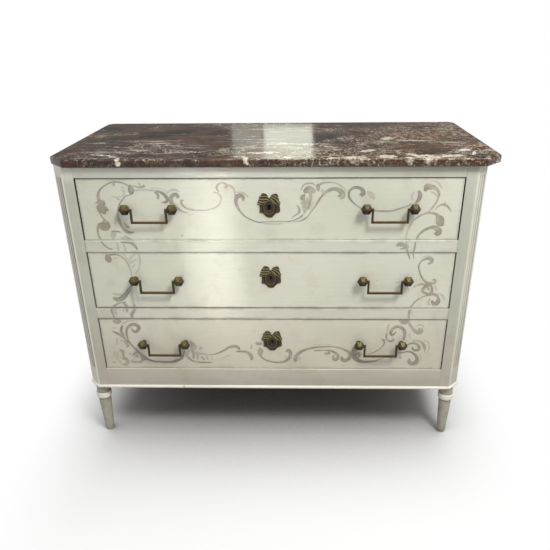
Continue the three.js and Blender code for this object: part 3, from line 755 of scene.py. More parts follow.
ornament = {
    "leftArch": (0.75, [(-457, 766, 4), (-457, 776, 3.6), (-451, 789, 2.2), (-441, 798, 1.8),
        (-428, 806, 1.5), (-414, 811, 2), (-402, 811, 2), (-388, 808, 1.6), (-376, 802, 1.6),
        (-366, 797, 3)]),
    "archBud": (0.9, [(-369, 799, 4), (-369, 791, 8), (-369, 784, 5.5), (-369, 779, 1)]),
    "archLeaf": (0.6, [(-412, 809, 1.5), (-412, 804, 3)]),
    "archTip": (0.7, [(-361, 801, 1.6), (-350, 797, 2), (-341, 797, 2.6), (-334, 800, 3)]),
    "archDot": (0.5, [(-346, 806, 2), (-344, 804, 2)]),
    "topLine": (0.55, [(-360, 788, 1), (-340, 790, 1.2), (-320, 789, 1.6), (-302, 787, 2.2)]),
    "topLineTwo": (0.35, [(-320, 794, 1), (-300, 794, 1.2), (-287, 790, 1.2), (-277, 783, 1)]),
    "archShade": (0.25, [(-390, 797, 3), (-389, 786, 4.5), (-390, 775, 3)]),
    "sprigA": (0.45, [(-421, 773, 0.8), (-410, 771, 1.2), (-399, 772, 1), (-390, 775, 0.8)]),
    "sprigALeaf": (0.5, [(-410, 770, 1), (-406, 765, 2.2), (-402, 767, 1)]),
    "innerC": (0.8, [(-372, 777, 0.8), (-384, 774, 1.2), (-393, 766, 1.4), (-402, 755, 1.6),
        (-408, 742, 1.9), (-412, 727, 2.6), (-412, 712, 3.4), (-408, 698, 4), (-403, 686, 4.6),
        (-396, 678, 4.6), (-386, 674, 3.2), (-376, 675, 1.4)]),
    "innerLeaf": (0.9, [(-399, 703, 1.2), (-396, 695, 3.2), (-392, 690, 3.4), (-385, 689, 1.2)]),
    "leafBlobTop": (0.85, [(-457, 766, 3.5), (-454, 756, 6.5), (-452, 745, 9.5), (-450, 735, 8),
        (-447, 729, 4)]),
    "leafBlobB": (0.85, [(-447, 758, 4.5), (-443, 753, 2.5)]),
    "leafBlobC": (0.85, [(-463, 745, 3), (-460, 736, 4.5)]),
    "leafBlobD": (0.85, [(-442, 742, 4), (-438, 736, 3)]),
    "leafBlobE": (0.8, [(-466, 755, 1.5), (-461, 758, 1.8)]),
    "stem": (0.7, [(-461, 736, 2), (-459, 726, 1.7), (-455, 717, 1.6), (-449, 709, 1.6),
        (-442, 703, 1.4), (-439, 699, 1)]),
    "lowBud": (0.9, [(-464, 694, 6.5), (-453, 691, 12), (-445, 692, 8)]),
    "lowBudTip": (0.7, [(-455, 702, 3), (-451, 709, 1)]),
    "lowCurve": (0.75, [(-467, 696, 3), (-472, 684, 2.8), (-473, 672, 2.4), (-471, 662, 2.2),
        (-467, 651, 2), (-462, 641, 1.8), (-455, 633, 1.7), (-447, 628, 1.6), (-439, 627, 1.2)]),
    "lowLeaf": (0.45, [(-426, 675, 2.5), (-432, 668, 6.5), (-434, 660, 4), (-433, 654, 1.5)]),
    "lowLeafTop": (0.85, [(-435, 677, 1.4), (-422, 677, 2.3), (-411, 675, 1.4)]),
    "lowVeinA": (0.45, [(-413, 660, 1.2), (-408, 657, 2), (-403, 661, 1.2)]),
    "lowVeinB": (0.5, [(-401, 664, 2), (-393, 658, 3), (-386, 654, 1.4)]),
    "shadeA": (0.25, [(-421, 716, 2.5), (-420, 707, 3.2), (-422, 699, 2)]),
    "railLeaf": (0.85, [(-413, 646, 1.4), (-401, 646, 2), (-389, 644, 3), (-380, 639, 4.4),
        (-374, 631, 3), (-372, 624, 1)]),
    "railShadeA": (0.35, [(-407, 641, 2), (-405, 630, 3), (-404, 618, 3)]),
    "railShadeB": (0.3, [(-424, 641, 2.5), (-424, 624, 3)]),
    "ball": (0.9, [(-457, 606, 5.5), (-456, 598, 8.6), (-455, 593, 6)]),
    "ballArc": (0.75, [(-456, 607, 4), (-447, 610, 2.6), (-436, 611, 2), (-425, 608, 1.9),
        (-416, 602, 1.9), (-408, 592, 1.9), (-402, 577, 1.5), (-399, 562, 1.2), (-398, 549, 1)]),
    "ballLine": (0.4, [(-440, 601, 1), (-434, 600, 1.6), (-428, 601, 1)]),
    "ghostLoop": (0.4, [(-371, 613, 1.4), (-369, 600, 1.6), (-371, 582, 1.8), (-377, 567, 1.6),
        (-387, 553, 1)]),
    "ghostVeinA": (0.33, [(-401, 590, 2), (-393, 602, 3.2), (-383, 610, 2)]),
    "ghostVeinB": (0.33, [(-399, 584, 2), (-390, 591, 2.8), (-379, 596, 1.6)]),
    "ghostVeinC": (0.42, [(-393, 573, 2.2), (-386, 580, 1.4)]),
    "ghostSide": (0.28, [(-412, 613, 2), (-405, 601, 2.4), (-400, 588, 2)]),
    "sweep": (0.85, [(-402, 521, 2), (-406, 511, 4.4), (-415, 499, 5.6), (-425, 487, 6.6),
        (-436, 477, 7), (-447, 474, 6.6), (-456, 478, 4.4)]),
    "sweepGhost": (0.35, [(-456, 492, 3), (-446, 490, 4), (-435, 490, 3)]),
    "railStem": (0.45, [(-404, 500, 3), (-405, 486, 4.6), (-405, 470, 4.6), (-404, 459, 3.5)]),
    "crossC": (0.75, [(-427, 466, 1.8), (-438, 464, 2), (-447, 462, 2.4), (-455, 457, 2.8),
        (-462, 450, 3), (-467, 442, 3.8), (-467, 433, 3.2), (-465, 423, 2.2), (-463, 414, 2.4),
        (-460, 407, 5)]),
    "crossBlob": (0.65, [(-466, 404, 5), (-459, 404, 8.5), (-452, 404, 5)]),
    "crossMid": (0.65, [(-431, 462, 3), (-425, 454, 4.6), (-424, 445, 4.2), (-424, 436, 2.6)]),
    "crossRight": (0.75, [(-404, 460, 3), (-402, 449, 4), (-403, 441, 5), (-408, 433, 4.4),
        (-412, 426, 4.6), (-412, 417, 3)]),
    "crossSmall": (0.45, [(-456, 444, 2), (-458, 434, 2.4), (-455, 424, 1.4)]),
    "crossHalo": (0.3, [(-446, 452, 2), (-436, 450, 2.6), (-434, 438, 2)]),
    "curl": (0.9, [(-436, 351, 2), (-437, 363, 2.4), (-435, 374, 2.8), (-430, 384, 3.6),
        (-421, 391, 4.6), (-411, 394, 4.8), (-402, 390, 5), (-398, 382, 4.6), (-402, 375, 4.2),
        (-409, 369, 4), (-417, 373, 3.2), (-420, 379, 2)]),
    "curlGhost": (0.35, [(-446, 396, 1.6), (-436, 401, 2), (-424, 405, 2.2), (-408, 406, 2),
        (-397, 402, 1)]),
    "curlStem": (0.9, [(-436, 351, 2.2), (-434, 338, 2.4), (-427, 325, 2.2), (-417, 311, 2.2),
        (-408, 300, 3), (-399, 289, 5), (-391, 281, 5.6), (-380, 274, 3.4), (-368, 269, 2.4),
        (-350, 267, 2.4), (-330, 266, 2.8), (-312, 267, 3.4), (-297, 272, 4.2), (-284, 279, 3.8),
        (-277, 290, 3.2), (-272, 304, 2)]),
    "stemFat": (0.85, [(-401, 290, 4), (-397, 281, 7), (-400, 273, 4)]),
    "leafUp": (0.8, [(-478, 371, 0.8), (-468, 366, 3.2), (-458, 361, 4.2), (-450, 354, 3.6),
        (-443, 345, 2.6), (-437, 335, 1.6)]),
    "leafTall": (0.85, [(-446, 389, 2.6), (-450, 380, 3.6), (-451, 371, 3.2), (-447, 362, 2),
        (-443, 355, 1)]),
    "leafMid": (0.6, [(-457, 339, 1.2), (-448, 338, 3), (-441, 331, 4.4), (-438, 323, 4.4),
        (-441, 318, 1.6)]),
    "faintA": (0.35, [(-467, 346, 2), (-470, 329, 2.4)]),
    "faintB": (0.28, [(-478, 382, 1.6), (-464, 382, 2)]),
    "smallC": (0.65, [(-462, 306, 3), (-456, 303, 5), (-456, 292, 3.4), (-455, 283, 3), (-449, 276, 4),
        (-446, 268, 5), (-449, 260, 4.6), (-457, 256, 3), (-464, 258, 1.4)]),
    "dotA": (0.6, [(-466, 282, 2), (-464, 281, 2)]),
    "dotB": (0.75, [(-459, 277, 2.4), (-457, 276, 2.4)]),
    "dotC": (0.6, [(-437, 294, 2.4), (-434, 296, 1.6)]),
    "leafLow": (0.5, [(-430, 288, 1.2), (-422, 295, 3.6), (-413, 301, 1.6)]),
    "dotD": (0.75, [(-418, 287, 2), (-414, 286, 2)]),
    "lowCup": (0.65, [(-435, 268, 2.4), (-426, 266, 3), (-415, 265, 3.4), (-405, 268, 4),
        (-398, 275, 4)]),
    "faintC": (0.32, [(-481, 301, 1.6), (-484, 287, 2)]),
    "faintD": (0.45, [(-493, 264, 1.4), (-483, 264, 2)]),
    "faintE": (0.28, [(-471, 297, 3), (-475, 281, 4.4), (-471, 267, 4), (-463, 258, 2)]),
    "hook": (0.9, [(-304, 787, 2), (-296, 785, 2.8), (-287, 780, 3.8), (-280, 772, 4.4),
        (-277, 763, 4), (-283, 757, 3), (-293, 757, 1.2)]),
    "hookLeaf": (0.85, [(-307, 783, 2.4), (-301, 778, 3.8), (-301, 767, 2)]),
    "shell": (0.85, [(-259, 742, 2.4), (-265, 751, 4.2), (-268, 761, 5), (-266, 771, 4.8),
        (-259, 777, 4.4), (-251, 777, 4), (-248, 771, 2.6), (-253, 769, 1.2)]),
    "shellGhost": (0.4, [(-276, 781, 1.6), (-267, 788, 2.6), (-256, 790, 2.8), (-245, 785, 1.4)]),
    "shellStem": (0.65, [(-262, 752, 3), (-256, 744, 2.6), (-249, 738, 2.6), (-243, 733, 2.2),
        (-235, 730, 1.6), (-226, 729, 0.8)]),
    "dash": (0.35, [(-227, 724, 1), (-220, 724, 1.4), (-212, 724, 0.8)]),
    "swagA": (0.8, [(-236, 762, 1.2), (-241, 761, 2.4), (-241, 753, 2.8), (-236, 746, 2.4),
        (-228, 740, 1.8), (-218, 737, 2), (-209, 736, 1.2)]),
    "swagB": (0.5, [(-211, 735, 1.2), (-195, 735, 1.6), (-180, 735, 1.4), (-167, 738, 1.1),
        (-156, 741, 1.6), (-149, 745, 1.6), (-142, 752, 1.3), (-137, 761, 1.5), (-137, 770, 1.6),
        (-142, 778, 1.6), (-148, 782, 1.4), (-155, 783, 1.8)]),
    "swagC": (0.3, [(-232, 751, 0.8), (-222, 744, 1), (-213, 740, 0.7)]),
    "bridgeA": (0.65, [(-142, 785, 1.4), (-147, 793, 1.8), (-144, 802, 2), (-137, 807, 2.2),
        (-128, 808, 2.2), (-122, 804, 2.8), (-121, 798, 2.8), (-126, 796, 1.4)]),
    "bridgeB": (0.5, [(-119, 801, 2.2), (-111, 800, 2.2), (-105, 795, 1.9), (-101, 786, 1.7),
        (-100, 777, 1.8), (-100, 768, 2)]),
    "leafHook": (0.9, [(-80, 762, 1.8), (-79, 768, 3.6), (-84, 774, 4.6), (-91, 774, 5),
        (-97, 768, 4.8), (-99, 759, 4), (-97, 748, 3.2), (-92, 737, 2.6), (-85, 727, 1.9),
        (-76, 718, 1.6), (-65, 711, 1.4), (-50, 704.5, 1.6), (-37, 701.5, 1.6), (-22, 703, 1),
        (0, 704, 1), (20, 703.5, 1.2), (40, 704.5, 1.6), (55, 709, 1.5), (66, 714, 1.5), (74, 721, 1.8)]),
    "hookGhost": (0.35, [(-95, 783, 1), (-85, 783, 1.6), (-75, 779, 2.4), (-68, 772, 2.4)]),
    "longLine": (0.45, [(-28, 698.5, 1.4), (-8, 697.5, 1.8), (12, 697.5, 1.6), (24, 699, 1.2)]),
    "riseLine": (0.75, [(50, 703.5, 1), (66, 705, 1.3), (78, 710, 1.8), (88, 718, 1.2), (94, 727, 1.1),
        (101, 737, 1.6), (108, 747, 2.1), (115, 759, 2.2), (123, 771, 2.4), (131, 780, 3),
        (141, 787, 4.2), (152, 791, 4.8), (162, 790, 5), (170, 786, 6), (176, 779, 7.4), (177, 771, 6),
        (173, 766, 3)]),
    "riseNub": (0.8, [(172, 774, 3), (166, 772, 2)]),
    "leafInner": (0.65, [(46, 713, 1), (52, 719, 1.8), (60, 724, 1.8), (66, 731, 3.2), (65, 740, 2.6),
        (60, 749, 0.8)]),
    "plumeA": (0.6, [(78, 770, 3), (77, 758, 4.6), (78, 745, 4.6), (80, 734, 3.6), (78, 725, 1.6)]),
    "plumeTop": (0.85, [(79, 775, 2), (73, 771, 4), (72, 765, 3.4)]),
    "plumeB": (0.5, [(87, 768, 2), (85, 752, 3), (84, 734, 2)]),
    "plumeStem": (0.75, [(94, 781, 4.4), (95, 769, 3.4), (93, 757, 3), (91, 745, 2.4), (89, 737, 1.2)]),
    "plumeBud": (0.85, [(82, 786, 6), (90, 790, 8.6), (99, 787, 7), (105, 784, 2.4)]),
    "plumeDot": (0.6, [(70, 754, 1.8), (72, 754, 1.8)]),
    "plumeArc": (0.6, [(71, 790, 1.3), (74, 798, 1.7), (81, 804, 2.1), (91, 806, 2.1), (100, 805, 1.8),
        (106, 800, 1)]),
    "plumeGhost": (0.28, [(101, 757, 2), (97, 745, 3.4), (95, 737, 2)]),
    "blockBud": (0.85, [(113, 801, 3.4), (113.5, 795, 4.8), (114, 789, 4)]),
    "blockArc": (0.65, [(116, 802, 2.6), (125, 806, 2.2), (136, 808, 1.8), (149, 808, 1.7),
        (161, 805, 1.6), (172, 799, 1.4), (181, 791, 1.1), (185, 784, 0.8)]),
    "blockLeaf": (0.5, [(123, 789, 2), (128, 782, 4), (131, 777, 2)]),
    "bigC": (0.88, [(228, 738, 1.3), (217, 745, 1.6), (206, 754, 2), (198, 763, 2.5), (193, 773, 2.9),
        (194, 784, 3.2), (200, 791, 3.4), (209, 795, 3.4), (220, 793, 3.8), (228, 787, 4.6),
        (230, 779, 4.8), (227, 774, 3)]),
    "bigCNub": (0.8, [(226, 778, 3.4), (222, 776, 1.8)]),
    "ghostLeafR": (0.3, [(243, 782, 3), (251, 775, 6.4), (258, 766, 3.4)]),
    "ghostDotR": (0.5, [(250, 770, 2), (253, 769, 1.4)]),
    "garland": (0.7, [(240, 736, 1.4), (262, 733, 2), (281, 732, 2.1), (300, 732, 2), (315, 735, 2),
        (330, 740, 1.8), (345, 745, 1.6), (355, 750, 1.4)]),
    "garlandEnd": (0.85, [(364, 748, 2), (369, 757, 3.6), (374, 765, 5), (375, 775, 5.4),
        (372, 783, 3.8)]),
    "garlandGhost": (0.28, [(359, 781, 2.4), (354, 772, 2.8), (357, 762, 2)]),
    "fatHook": (0.88, [(388, 789, 5), (391, 796, 7), (399, 795, 6.4), (408, 795, 4.6)]),
    "fatHookStem": (0.7, [(408, 795, 4), (417, 788, 3.4), (423, 777, 3), (421, 764, 2.2),
        (417, 752, 2), (410, 741, 1.8), (402, 731, 1.1)]),
    "fatHookIn": (0.45, [(402, 783, 1), (408, 781, 1.8), (414, 777, 2), (418, 772, 1.2)]),
    "fatHookGhost": (0.28, [(400, 811, 1), (411, 810, 1.6), (421, 803, 1.8), (429, 792, 1.2)]),
    "sprigB": (0.65, [(417, 736, 0.8), (425, 745, 1.8), (433, 749, 2.4), (441, 748, 2.8),
        (449, 744, 2.4), (455, 737, 1.8), (459, 731, 0.8)]),
    "sprigBUp": (0.6, [(441, 748, 2), (441, 756, 0.8)]),
    "boldC": (0.7, [(364, 706, 1.3), (373, 714, 2), (383, 721, 2.4), (395, 726, 2.8), (408, 727, 3),
        (420, 724, 3.2), (428, 718, 4)]),
    "boldCEnd": (0.85, [(427, 716, 5), (433, 708, 10.5), (434, 701, 9.6), (440, 696, 5)]),
    "lowC": (0.85, [(377, 654, 2), (380, 663, 2.6), (387, 672, 2.9), (396, 680, 3), (406, 685, 3.4),
        (417, 688, 4.2), (426, 685, 6), (433, 679, 7), (435, 672, 6), (430, 669, 5), (425, 671, 2.6)]),
    "threadA": (0.55, [(362, 703, 2), (356, 691, 1.7), (351, 677, 1.4), (349, 662, 1.2),
        (349, 650, 1.3), (352, 640, 2), (358, 630, 1.2)]),
    "railLeafR": (0.75, [(327, 637, 3), (333, 640, 5), (342, 639, 5), (349, 633, 3.6), (353, 625, 2.4),
        (357, 615, 2.2), (361, 606, 2), (364, 597, 0.8)]),
    "railLeafRTwo": (0.65, [(337, 627, 1.4), (343, 628, 2.4), (348, 627, 1.6)]),
    "threadB": (0.75, [(374, 646, 1.5), (374, 635, 2.3), (372.5, 624, 2.2), (372, 612, 1.4),
        (375, 599, 0.8)]),
    "sCurve": (0.8, [(416, 584, 2.4), (422, 588, 4.2), (423, 595, 4.6), (416, 599, 3.8),
        (407, 598, 2.4), (398, 593, 1.8), (392, 584, 1.8), (390, 575, 2.4), (393, 563, 1.8),
        (398, 550, 1.9), (405, 538, 2.2), (413, 530, 2.8), (420, 524, 4)]),
    "sCurveGhost": (0.32, [(393, 599, 1), (405, 605, 1.5), (419, 605, 1.5), (430, 597, 1)]),
    "knot": (0.8, [(420, 519, 3.4), (412, 514, 3.6), (408, 506, 3.4), (411, 498, 3.4), (420, 494, 3.4)]),
    "knotRight": (0.8, [(420, 526, 4.4), (427, 521, 3.6), (432, 512, 3), (433, 502, 3.2),
        (430, 494, 4.2), (423, 491, 4)]),
    "knotMid": (0.7, [(417, 520, 3), (421, 512, 2.4), (425, 505, 1.6)]),
    "knotCurl": (0.7, [(422, 527, 3.4), (431, 526, 3), (438, 527, 3), (440, 533, 2.8), (436, 537, 2.4),
        (431, 535, 1.2)]),
    "knotArm": (0.65, [(381, 512, 1), (386, 517, 2), (395, 521, 2.3), (404, 523, 2.4), (412, 521, 3)]),
    "lowArm": (0.85, [(430, 493, 3.4), (440, 492, 3.6), (448, 488, 3.4), (453, 480, 3.6),
        (454, 470, 6), (449, 463, 6), (441, 464, 5), (437, 471, 2.6)]),
    "lowArmGhost": (0.38, [(449, 494, 1.6), (460, 491, 3), (467, 483, 2.6), (472, 473, 1)]),
    "lowArmShade": (0.33, [(430, 477, 2), (427, 468, 3.4), (430, 459, 2)]),
    "longArc": (0.65, [(430, 489, 2), (420, 488, 1.7), (410, 484, 1.7), (400, 478, 1.9),
        (391, 470, 2.1), (384, 460, 2.1), (379, 450, 2), (376.5, 440, 2.9), (375.5, 430, 3),
        (376, 418, 2.6), (378, 406, 3), (382, 396, 3.6), (388, 387, 4), (394, 379, 4.4), (401, 373, 5),
        (409, 370, 6.2), (415, 374, 6.4), (415, 380, 4.6), (408, 382, 2.6)]),
    "arcThread": (0.35, [(383, 441, 0.8), (385, 424, 0.8)]),
    "sprigC": (0.5, [(331, 529, 0.8), (340, 528, 1.8), (349, 527, 1.4)]),
    "sprigCUp": (0.4, [(341, 537, 0.8), (343, 529, 1.2)]),
    "sprigCDown": (0.45, [(347, 523, 1.8), (343, 514, 2)]),
    "sprigD": (0.4, [(437, 521, 1), (443, 512, 1.7), (446, 502, 0.9)]),
    "dotE": (0.3, [(364, 515, 1), (370, 506, 1.6), (366, 497, 1)]),
    "arcHalo": (0.4, [(398, 388, 1), (407, 395, 1.7), (418, 394, 1.7), (422, 384, 1)]),
    "archR": (0.88, [(368, 349, 3), (370, 362, 4.2), (368, 374, 4.6), (362, 383, 4.4), (354, 388, 4.2),
        (345, 389, 4), (336, 384, 4.2), (331, 376, 4.2), (329, 368, 3.6), (333, 361, 2.8),
        (340, 366, 2), (343, 371, 1.2)]),
    "archRShade": (0.3, [(322, 395, 3), (320, 383, 4), (321, 373, 2)]),
    "railBlock": (0.75, [(351, 411, 2), (358, 405, 5), (366, 403, 6), (374, 406, 4)]),
    "curlR": (0.75, [(318, 367, 1.4), (317, 357, 2), (319, 348, 2.2), (325, 342, 2.6), (333, 341, 3),
        (338, 345, 2.6), (336, 350, 1.4)]),
    "thinC": (0.75, [(307, 346, 2), (312, 343, 3), (313, 333, 2), (308, 323, 1.8), (300, 314, 1.6),
        (290, 306, 1.5), (280, 300, 1.4), (270, 297, 1)]),
    "eyeR": (0.9, [(379, 328, 1.2), (388, 333, 2.2), (397, 335, 2.8), (406, 332, 3.4), (413, 325, 4),
        (415, 316, 4.4), (410, 311, 4), (402, 311, 3.6), (397, 316, 3), (396, 321, 1.4)]),
    "outerR": (0.65, [(395, 342, 1.3), (405, 343, 1.7), (415, 341, 2.2), (423, 335, 3.2),
        (429, 326, 4.4), (432, 317, 3.4)]),
    "outerRGhost": (0.38, [(427, 344, 1), (437, 340, 1.7), (443, 330, 1.8), (444, 318, 1.7),
        (441, 307, 0.9)]),
    "outerRDot": (0.45, [(432, 312, 1.4), (433, 306, 1.4)]),
    "lastC": (0.85, [(359, 302, 1.2), (370, 303, 1.8), (380, 306, 2.4), (391, 305, 2.8),
        (401, 299, 3.4), (409, 291, 4.4), (413, 281, 5.4), (411, 271, 6), (403, 265, 6.4),
        (395, 266, 6), (390, 272, 5), (390, 279, 2.4)]),
    "lastCGhost": (0.33, [(416, 301, 1), (424, 289, 1.6), (423, 275, 1.6), (416, 263, 1.4),
        (408, 256, 0.9)]),
    "dotF": (0.75, [(362, 287, 3.2), (364, 284, 2.4)]),
    "dotG": (0.38, [(383, 366, 2), (385, 355, 2.4)]),
    "stain": (0.55, [(455, 250, 2), (457, 249, 2)]),
    "stainTwo": (0.45, [(-248, 665, 2), (-246, 665, 2)]),
    "fatC": (0.92, [(229, 319, 4), (226, 309, 5.6), (227, 297, 6.6), (230, 285, 6.8), (237, 277, 6),
        (247, 272, 4.6), (261, 270, 3.9), (276, 271, 3.2), (291, 274, 2.5), (303, 279, 2),
        (316, 284, 0.9)]),
    "fatCIn": (0.75, [(231, 302, 3), (239, 299, 5), (243, 292, 4), (240, 285, 1.4)]),
    "fatCThread": (0.5, [(247, 297, 1.2), (258, 297, 1.2), (270, 297, 1)]),
    "bigArch": (0.85, [(55, 274, 4.4), (55, 283, 5.6), (60, 292, 5.2), (69, 302, 4.5), (82, 310, 3.5),
        (96, 315, 2.8), (115, 319, 2.4), (138, 321, 2.4), (160, 321.5, 2.4), (177, 319, 2.2),
        (191, 315, 2.6), (203, 309, 3.2), (212, 302, 3.8), (216, 293, 4.3), (214, 283, 4.6),
        (207, 276, 5), (199, 274, 5.4), (193, 279, 4.8), (191, 286, 2.4)]),
    "bigArchShade": (0.33, [(64, 287, 3), (67, 281, 5.4), (66, 275, 3)]),
    "innerArch": (0.85, [(111, 307, 1.2), (125, 309, 1.6), (140, 309.5, 1.8), (156, 308, 2.4),
        (167, 304, 3.2), (176, 297, 3.8), (181, 289, 4), (178, 280, 4.2), (171, 277, 4.4),
        (167, 283, 3.6), (167, 290, 1.8)]),
    "tinyLeaf": (0.75, [(142, 299, 2.2), (147, 297, 3), (153, 301, 3.2), (156, 298, 1.6)]),
    "archGhost": (0.25, [(110, 327, 1), (130, 329, 1.4), (150, 329, 1.4), (171, 324, 0.9)]),
    "fatTail": (0.85, [(-117, 304, 2.2), (-104, 304, 2.6), (-91, 303, 3.2), (-82, 298, 4.8),
        (-76, 290, 5.4), (-74, 282, 4.6), (-76, 276, 2.4)]),
    "dashJ": (0.6, [(-73, 326, 1.8), (-75, 314, 1.8)]),
    "blockJ": (0.8, [(-57, 331, 4.8), (-47, 331, 4.8)]),
    "budJ": (0.75, [(-50, 315, 2.4), (-48, 305, 8), (-49, 295, 5), (-46, 288, 2.2)]),
    "cupJ": (0.8, [(-49, 291, 2), (-42, 282, 2.2), (-33, 275, 2.3), (-20, 270, 2.6), (-5, 267, 2.8),
        (8, 267, 2.8), (20, 269, 3.2), (30, 275, 4.2), (38, 284, 4.8), (41, 293, 4.6), (40, 302, 5),
        (35, 308, 5.8), (29, 306, 3)]),
    "cupNub": (0.5, [(25, 288, 2), (27, 286, 2)]),
    "roof": (0.8, [(-204, 293, 1.2), (-190, 293, 1.8), (-176, 297, 2.1), (-163, 303, 2.3),
        (-151, 310, 2.5), (-142, 317, 3.2), (-132, 321, 4.2), (-121, 322, 4.8), (-113, 318, 4.4),
        (-109, 311, 2.4)]),
    "boat": (0.8, [(-264, 286, 2.4), (-257, 276, 2.7), (-248, 270, 2.2), (-235, 267, 2.1),
        (-220, 265.5, 2.4), (-205, 265.5, 2.2), (-193, 266, 1)]),
    "hatchA": (0.65, [(-250, 336, 3), (-246, 326, 5.4), (-248, 314, 4)]),
    "hatchB": (0.55, [(-242, 331, 3), (-239, 319, 4.6), (-241, 309, 2)]),
    "hatchC": (0.6, [(-251, 311, 3), (-246, 297, 4.8), (-247, 281, 3)]),
    "hatchD": (0.5, [(-236, 302, 2), (-234, 287, 3.8), (-236, 276, 2)]),
    "hatchE": (0.5, [(-224, 286, 2), (-219, 279, 4), (-215, 274, 1.6)]),
    "hatchF": (0.45, [(-208, 291, 1.6), (-206, 279, 2.6), (-204, 273, 1)]),
    "hatchG": (0.5, [(-227, 321, 1.6), (-220, 316, 2.2), (-227, 312, 2.4)]),
    "hatchH": (0.55, [(-259, 307, 3), (-266, 292, 4.6), (-262, 278, 3)]),
    "hatchI": (0.5, [(-230, 297, 1.4), (-216, 295, 2.2), (-203, 293, 1.6)]),
    "hatchJ": (0.35, [(-196, 286, 1), (-192, 277, 1.4)]),
    "hatchK": (0.33, [(-163, 280, 1), (-152, 284, 1.6), (-142, 290, 1.6), (-134, 293, 0.9)]),
}


def smoothLine(points, steps=6):
    # more points on a smooth line through the given ones
    p = np.array(points, float)
    p = np.vstack([2 * p[0] - p[1], p, 2 * p[-1] - p[-2]])
    t = (np.arange(steps) / steps)[:, None]
    pieces = []
    for a, b, c, d in zip(p[:-3], p[1:-2], p[2:-1], p[3:]):
        square, cube = 2 * a - 5 * b + 4 * c - d, 3 * b - a - 3 * c + d
        pieces.append(0.5 * (2 * b + (c - a) * t + square * t ** 2 + cube * t ** 3))
    return np.vstack(pieces + [p[-2:-1]])


strokes = [(strength, smoothLine(points)) for strength, points in ornament.values()]
coat = {
    "cell": 1.7,
    "inset": 1.7,
    "thickness": 0.16,
    "overlap": 0.1,
    "keyHole": (13, 20),
    # how far beyond its points a stroke is looked for
    "margin": 14,
    "widestRim": 40,
}


def paintStrokes(sheet, lift):
    # writes the ornament into the sheet's points; a face nearer the camera is lifted into line
    spots = corners(sheet)
    x, z = spots[:, 0], spots[:, 2] - lift
    shift = paintLook["inkShift"]
    ink = np.full(len(x), -shift)
    tone = np.zeros(len(x))
    for strength, line in strokes:
        low, high = line[:, :2].min(0) - coat["margin"], line[:, :2].max(0) + coat["margin"]
        near = np.flatnonzero((x > low[0]) & (x < high[0]) & (z > low[1]) & (z < high[1]))
        if not len(near):
            continue
        start, step = line[:-1], line[1:] - line[:-1]
        dx = x[near][:, None] - start[:, 0]
        dz = z[near][:, None] - start[:, 1]
        span = np.maximum(step[:, 0] ** 2 + step[:, 1] ** 2, 1e-9)
        share = np.clip((dx * step[:, 0] + dz * step[:, 1]) / span, 0, 1)
        gap = np.hypot(dx - share * step[:, 0], dz - share * step[:, 1])
        depth = (start[:, 2] + share * step[:, 2] - gap).max(1)
        wins = depth > ink[near]
        ink[near[wins]] = depth[wins]
        tone[near[wins]] = strength
    record(sheet, "ink", np.clip(ink, -shift, 2 * shift) + shift)
    record(sheet, "tone", tone)


def paintSheet(name, low, high, material, lift=0.0, keyAt=None):
    # the paint film on a flat front: a fine closed sheet
    inset, thickness = coat["inset"] * mm, coat["thickness"] * mm
    wide, tall = high.x - low.x - 2 * inset, high.z - low.z - 2 * inset
    sheet = add(bpy.ops.mesh.primitive_grid_add, name, [material], (wide, tall, 1),
        x_subdivisions=round(wide / mm / coat["cell"]), y_subdivisions=round(tall / mm / coat["cell"]),
        size=1, rotation=(math.pi / 2, 0, 0),
        location=((low.x + high.x) / 2, low.y - thickness, (low.z + high.z) / 2))
    mesh = edit(sheet, "FACE")
    if keyAt:
        halfWide, halfTall = (part * mm for part in coat["keyHole"])
        for face in mesh.faces:
            away = face.calc_center_median()
            face.select = abs(away.x - keyAt[0]) < halfWide and abs(away.z - keyAt[1]) < halfTall
        bmesh.update_edit_mesh(sheet.data)
        bpy.ops.mesh.delete(type="FACE")
    bpy.ops.mesh.select_mode(type="EDGE")
    bpy.ops.mesh.select_all(action="DESELECT")
    bpy.ops.mesh.select_non_manifold()
    inward = (0, (coat["thickness"] + coat["overlap"]) * mm, 0)
    bpy.ops.mesh.extrude_region_move(TRANSFORM_OT_translate={"value": inward})
    bpy.ops.mesh.fill(use_beauty=False)
    done(sheet, turnOut=True)
    paintStrokes(sheet, lift)
    x, z = corners(sheet)[:, 0], corners(sheet)[:, 2]
    rim = np.minimum.reduce([x - low.x / mm, high.x / mm - x, z - low.z / mm, high.z / mm - z])
    record(sheet, "rim", np.clip(rim, 0, coat["widestRim"]))
    return sheet


def joined(main, *others):
    alone(main)
    for other in others:
        other.select_set(True)
    bpy.ops.object.join()
    return main


# The case: posts, rails, panels and base

caseShape = {
    # how wide the edges are rounded, in millimetres
    "arris": 2.4,
    "flute": 0.45,
    "board": 0.9,
    # how far forward the arris, the flutes and the painted side of a post lie, in millimetres
    "arrisFront": -257,
    "flutesFront": -220,
    "paintedFront": -250,
    # how far the ornament is lifted into line on the rails, which stand nearer the camera
    "lift": {"upper_rail": 1.3, "lower_rail": 1.8},
    "openingHalf": 500,
    # how tall an upright edge is at least, how long a long one, and how far it may lean
    "uprightFrom": 200,
    "longFrom": 100,
    "lean": 0.01,
}


def isUpright(a, b):
    shape = caseShape
    return abs(a.x - b.x) < shape["lean"] * mm and abs(a.z - b.z) > shape["uprightFrom"] * mm


def isOnFront(a, b, front):
    return max(a.y, b.y) < front + 0.05 * mm


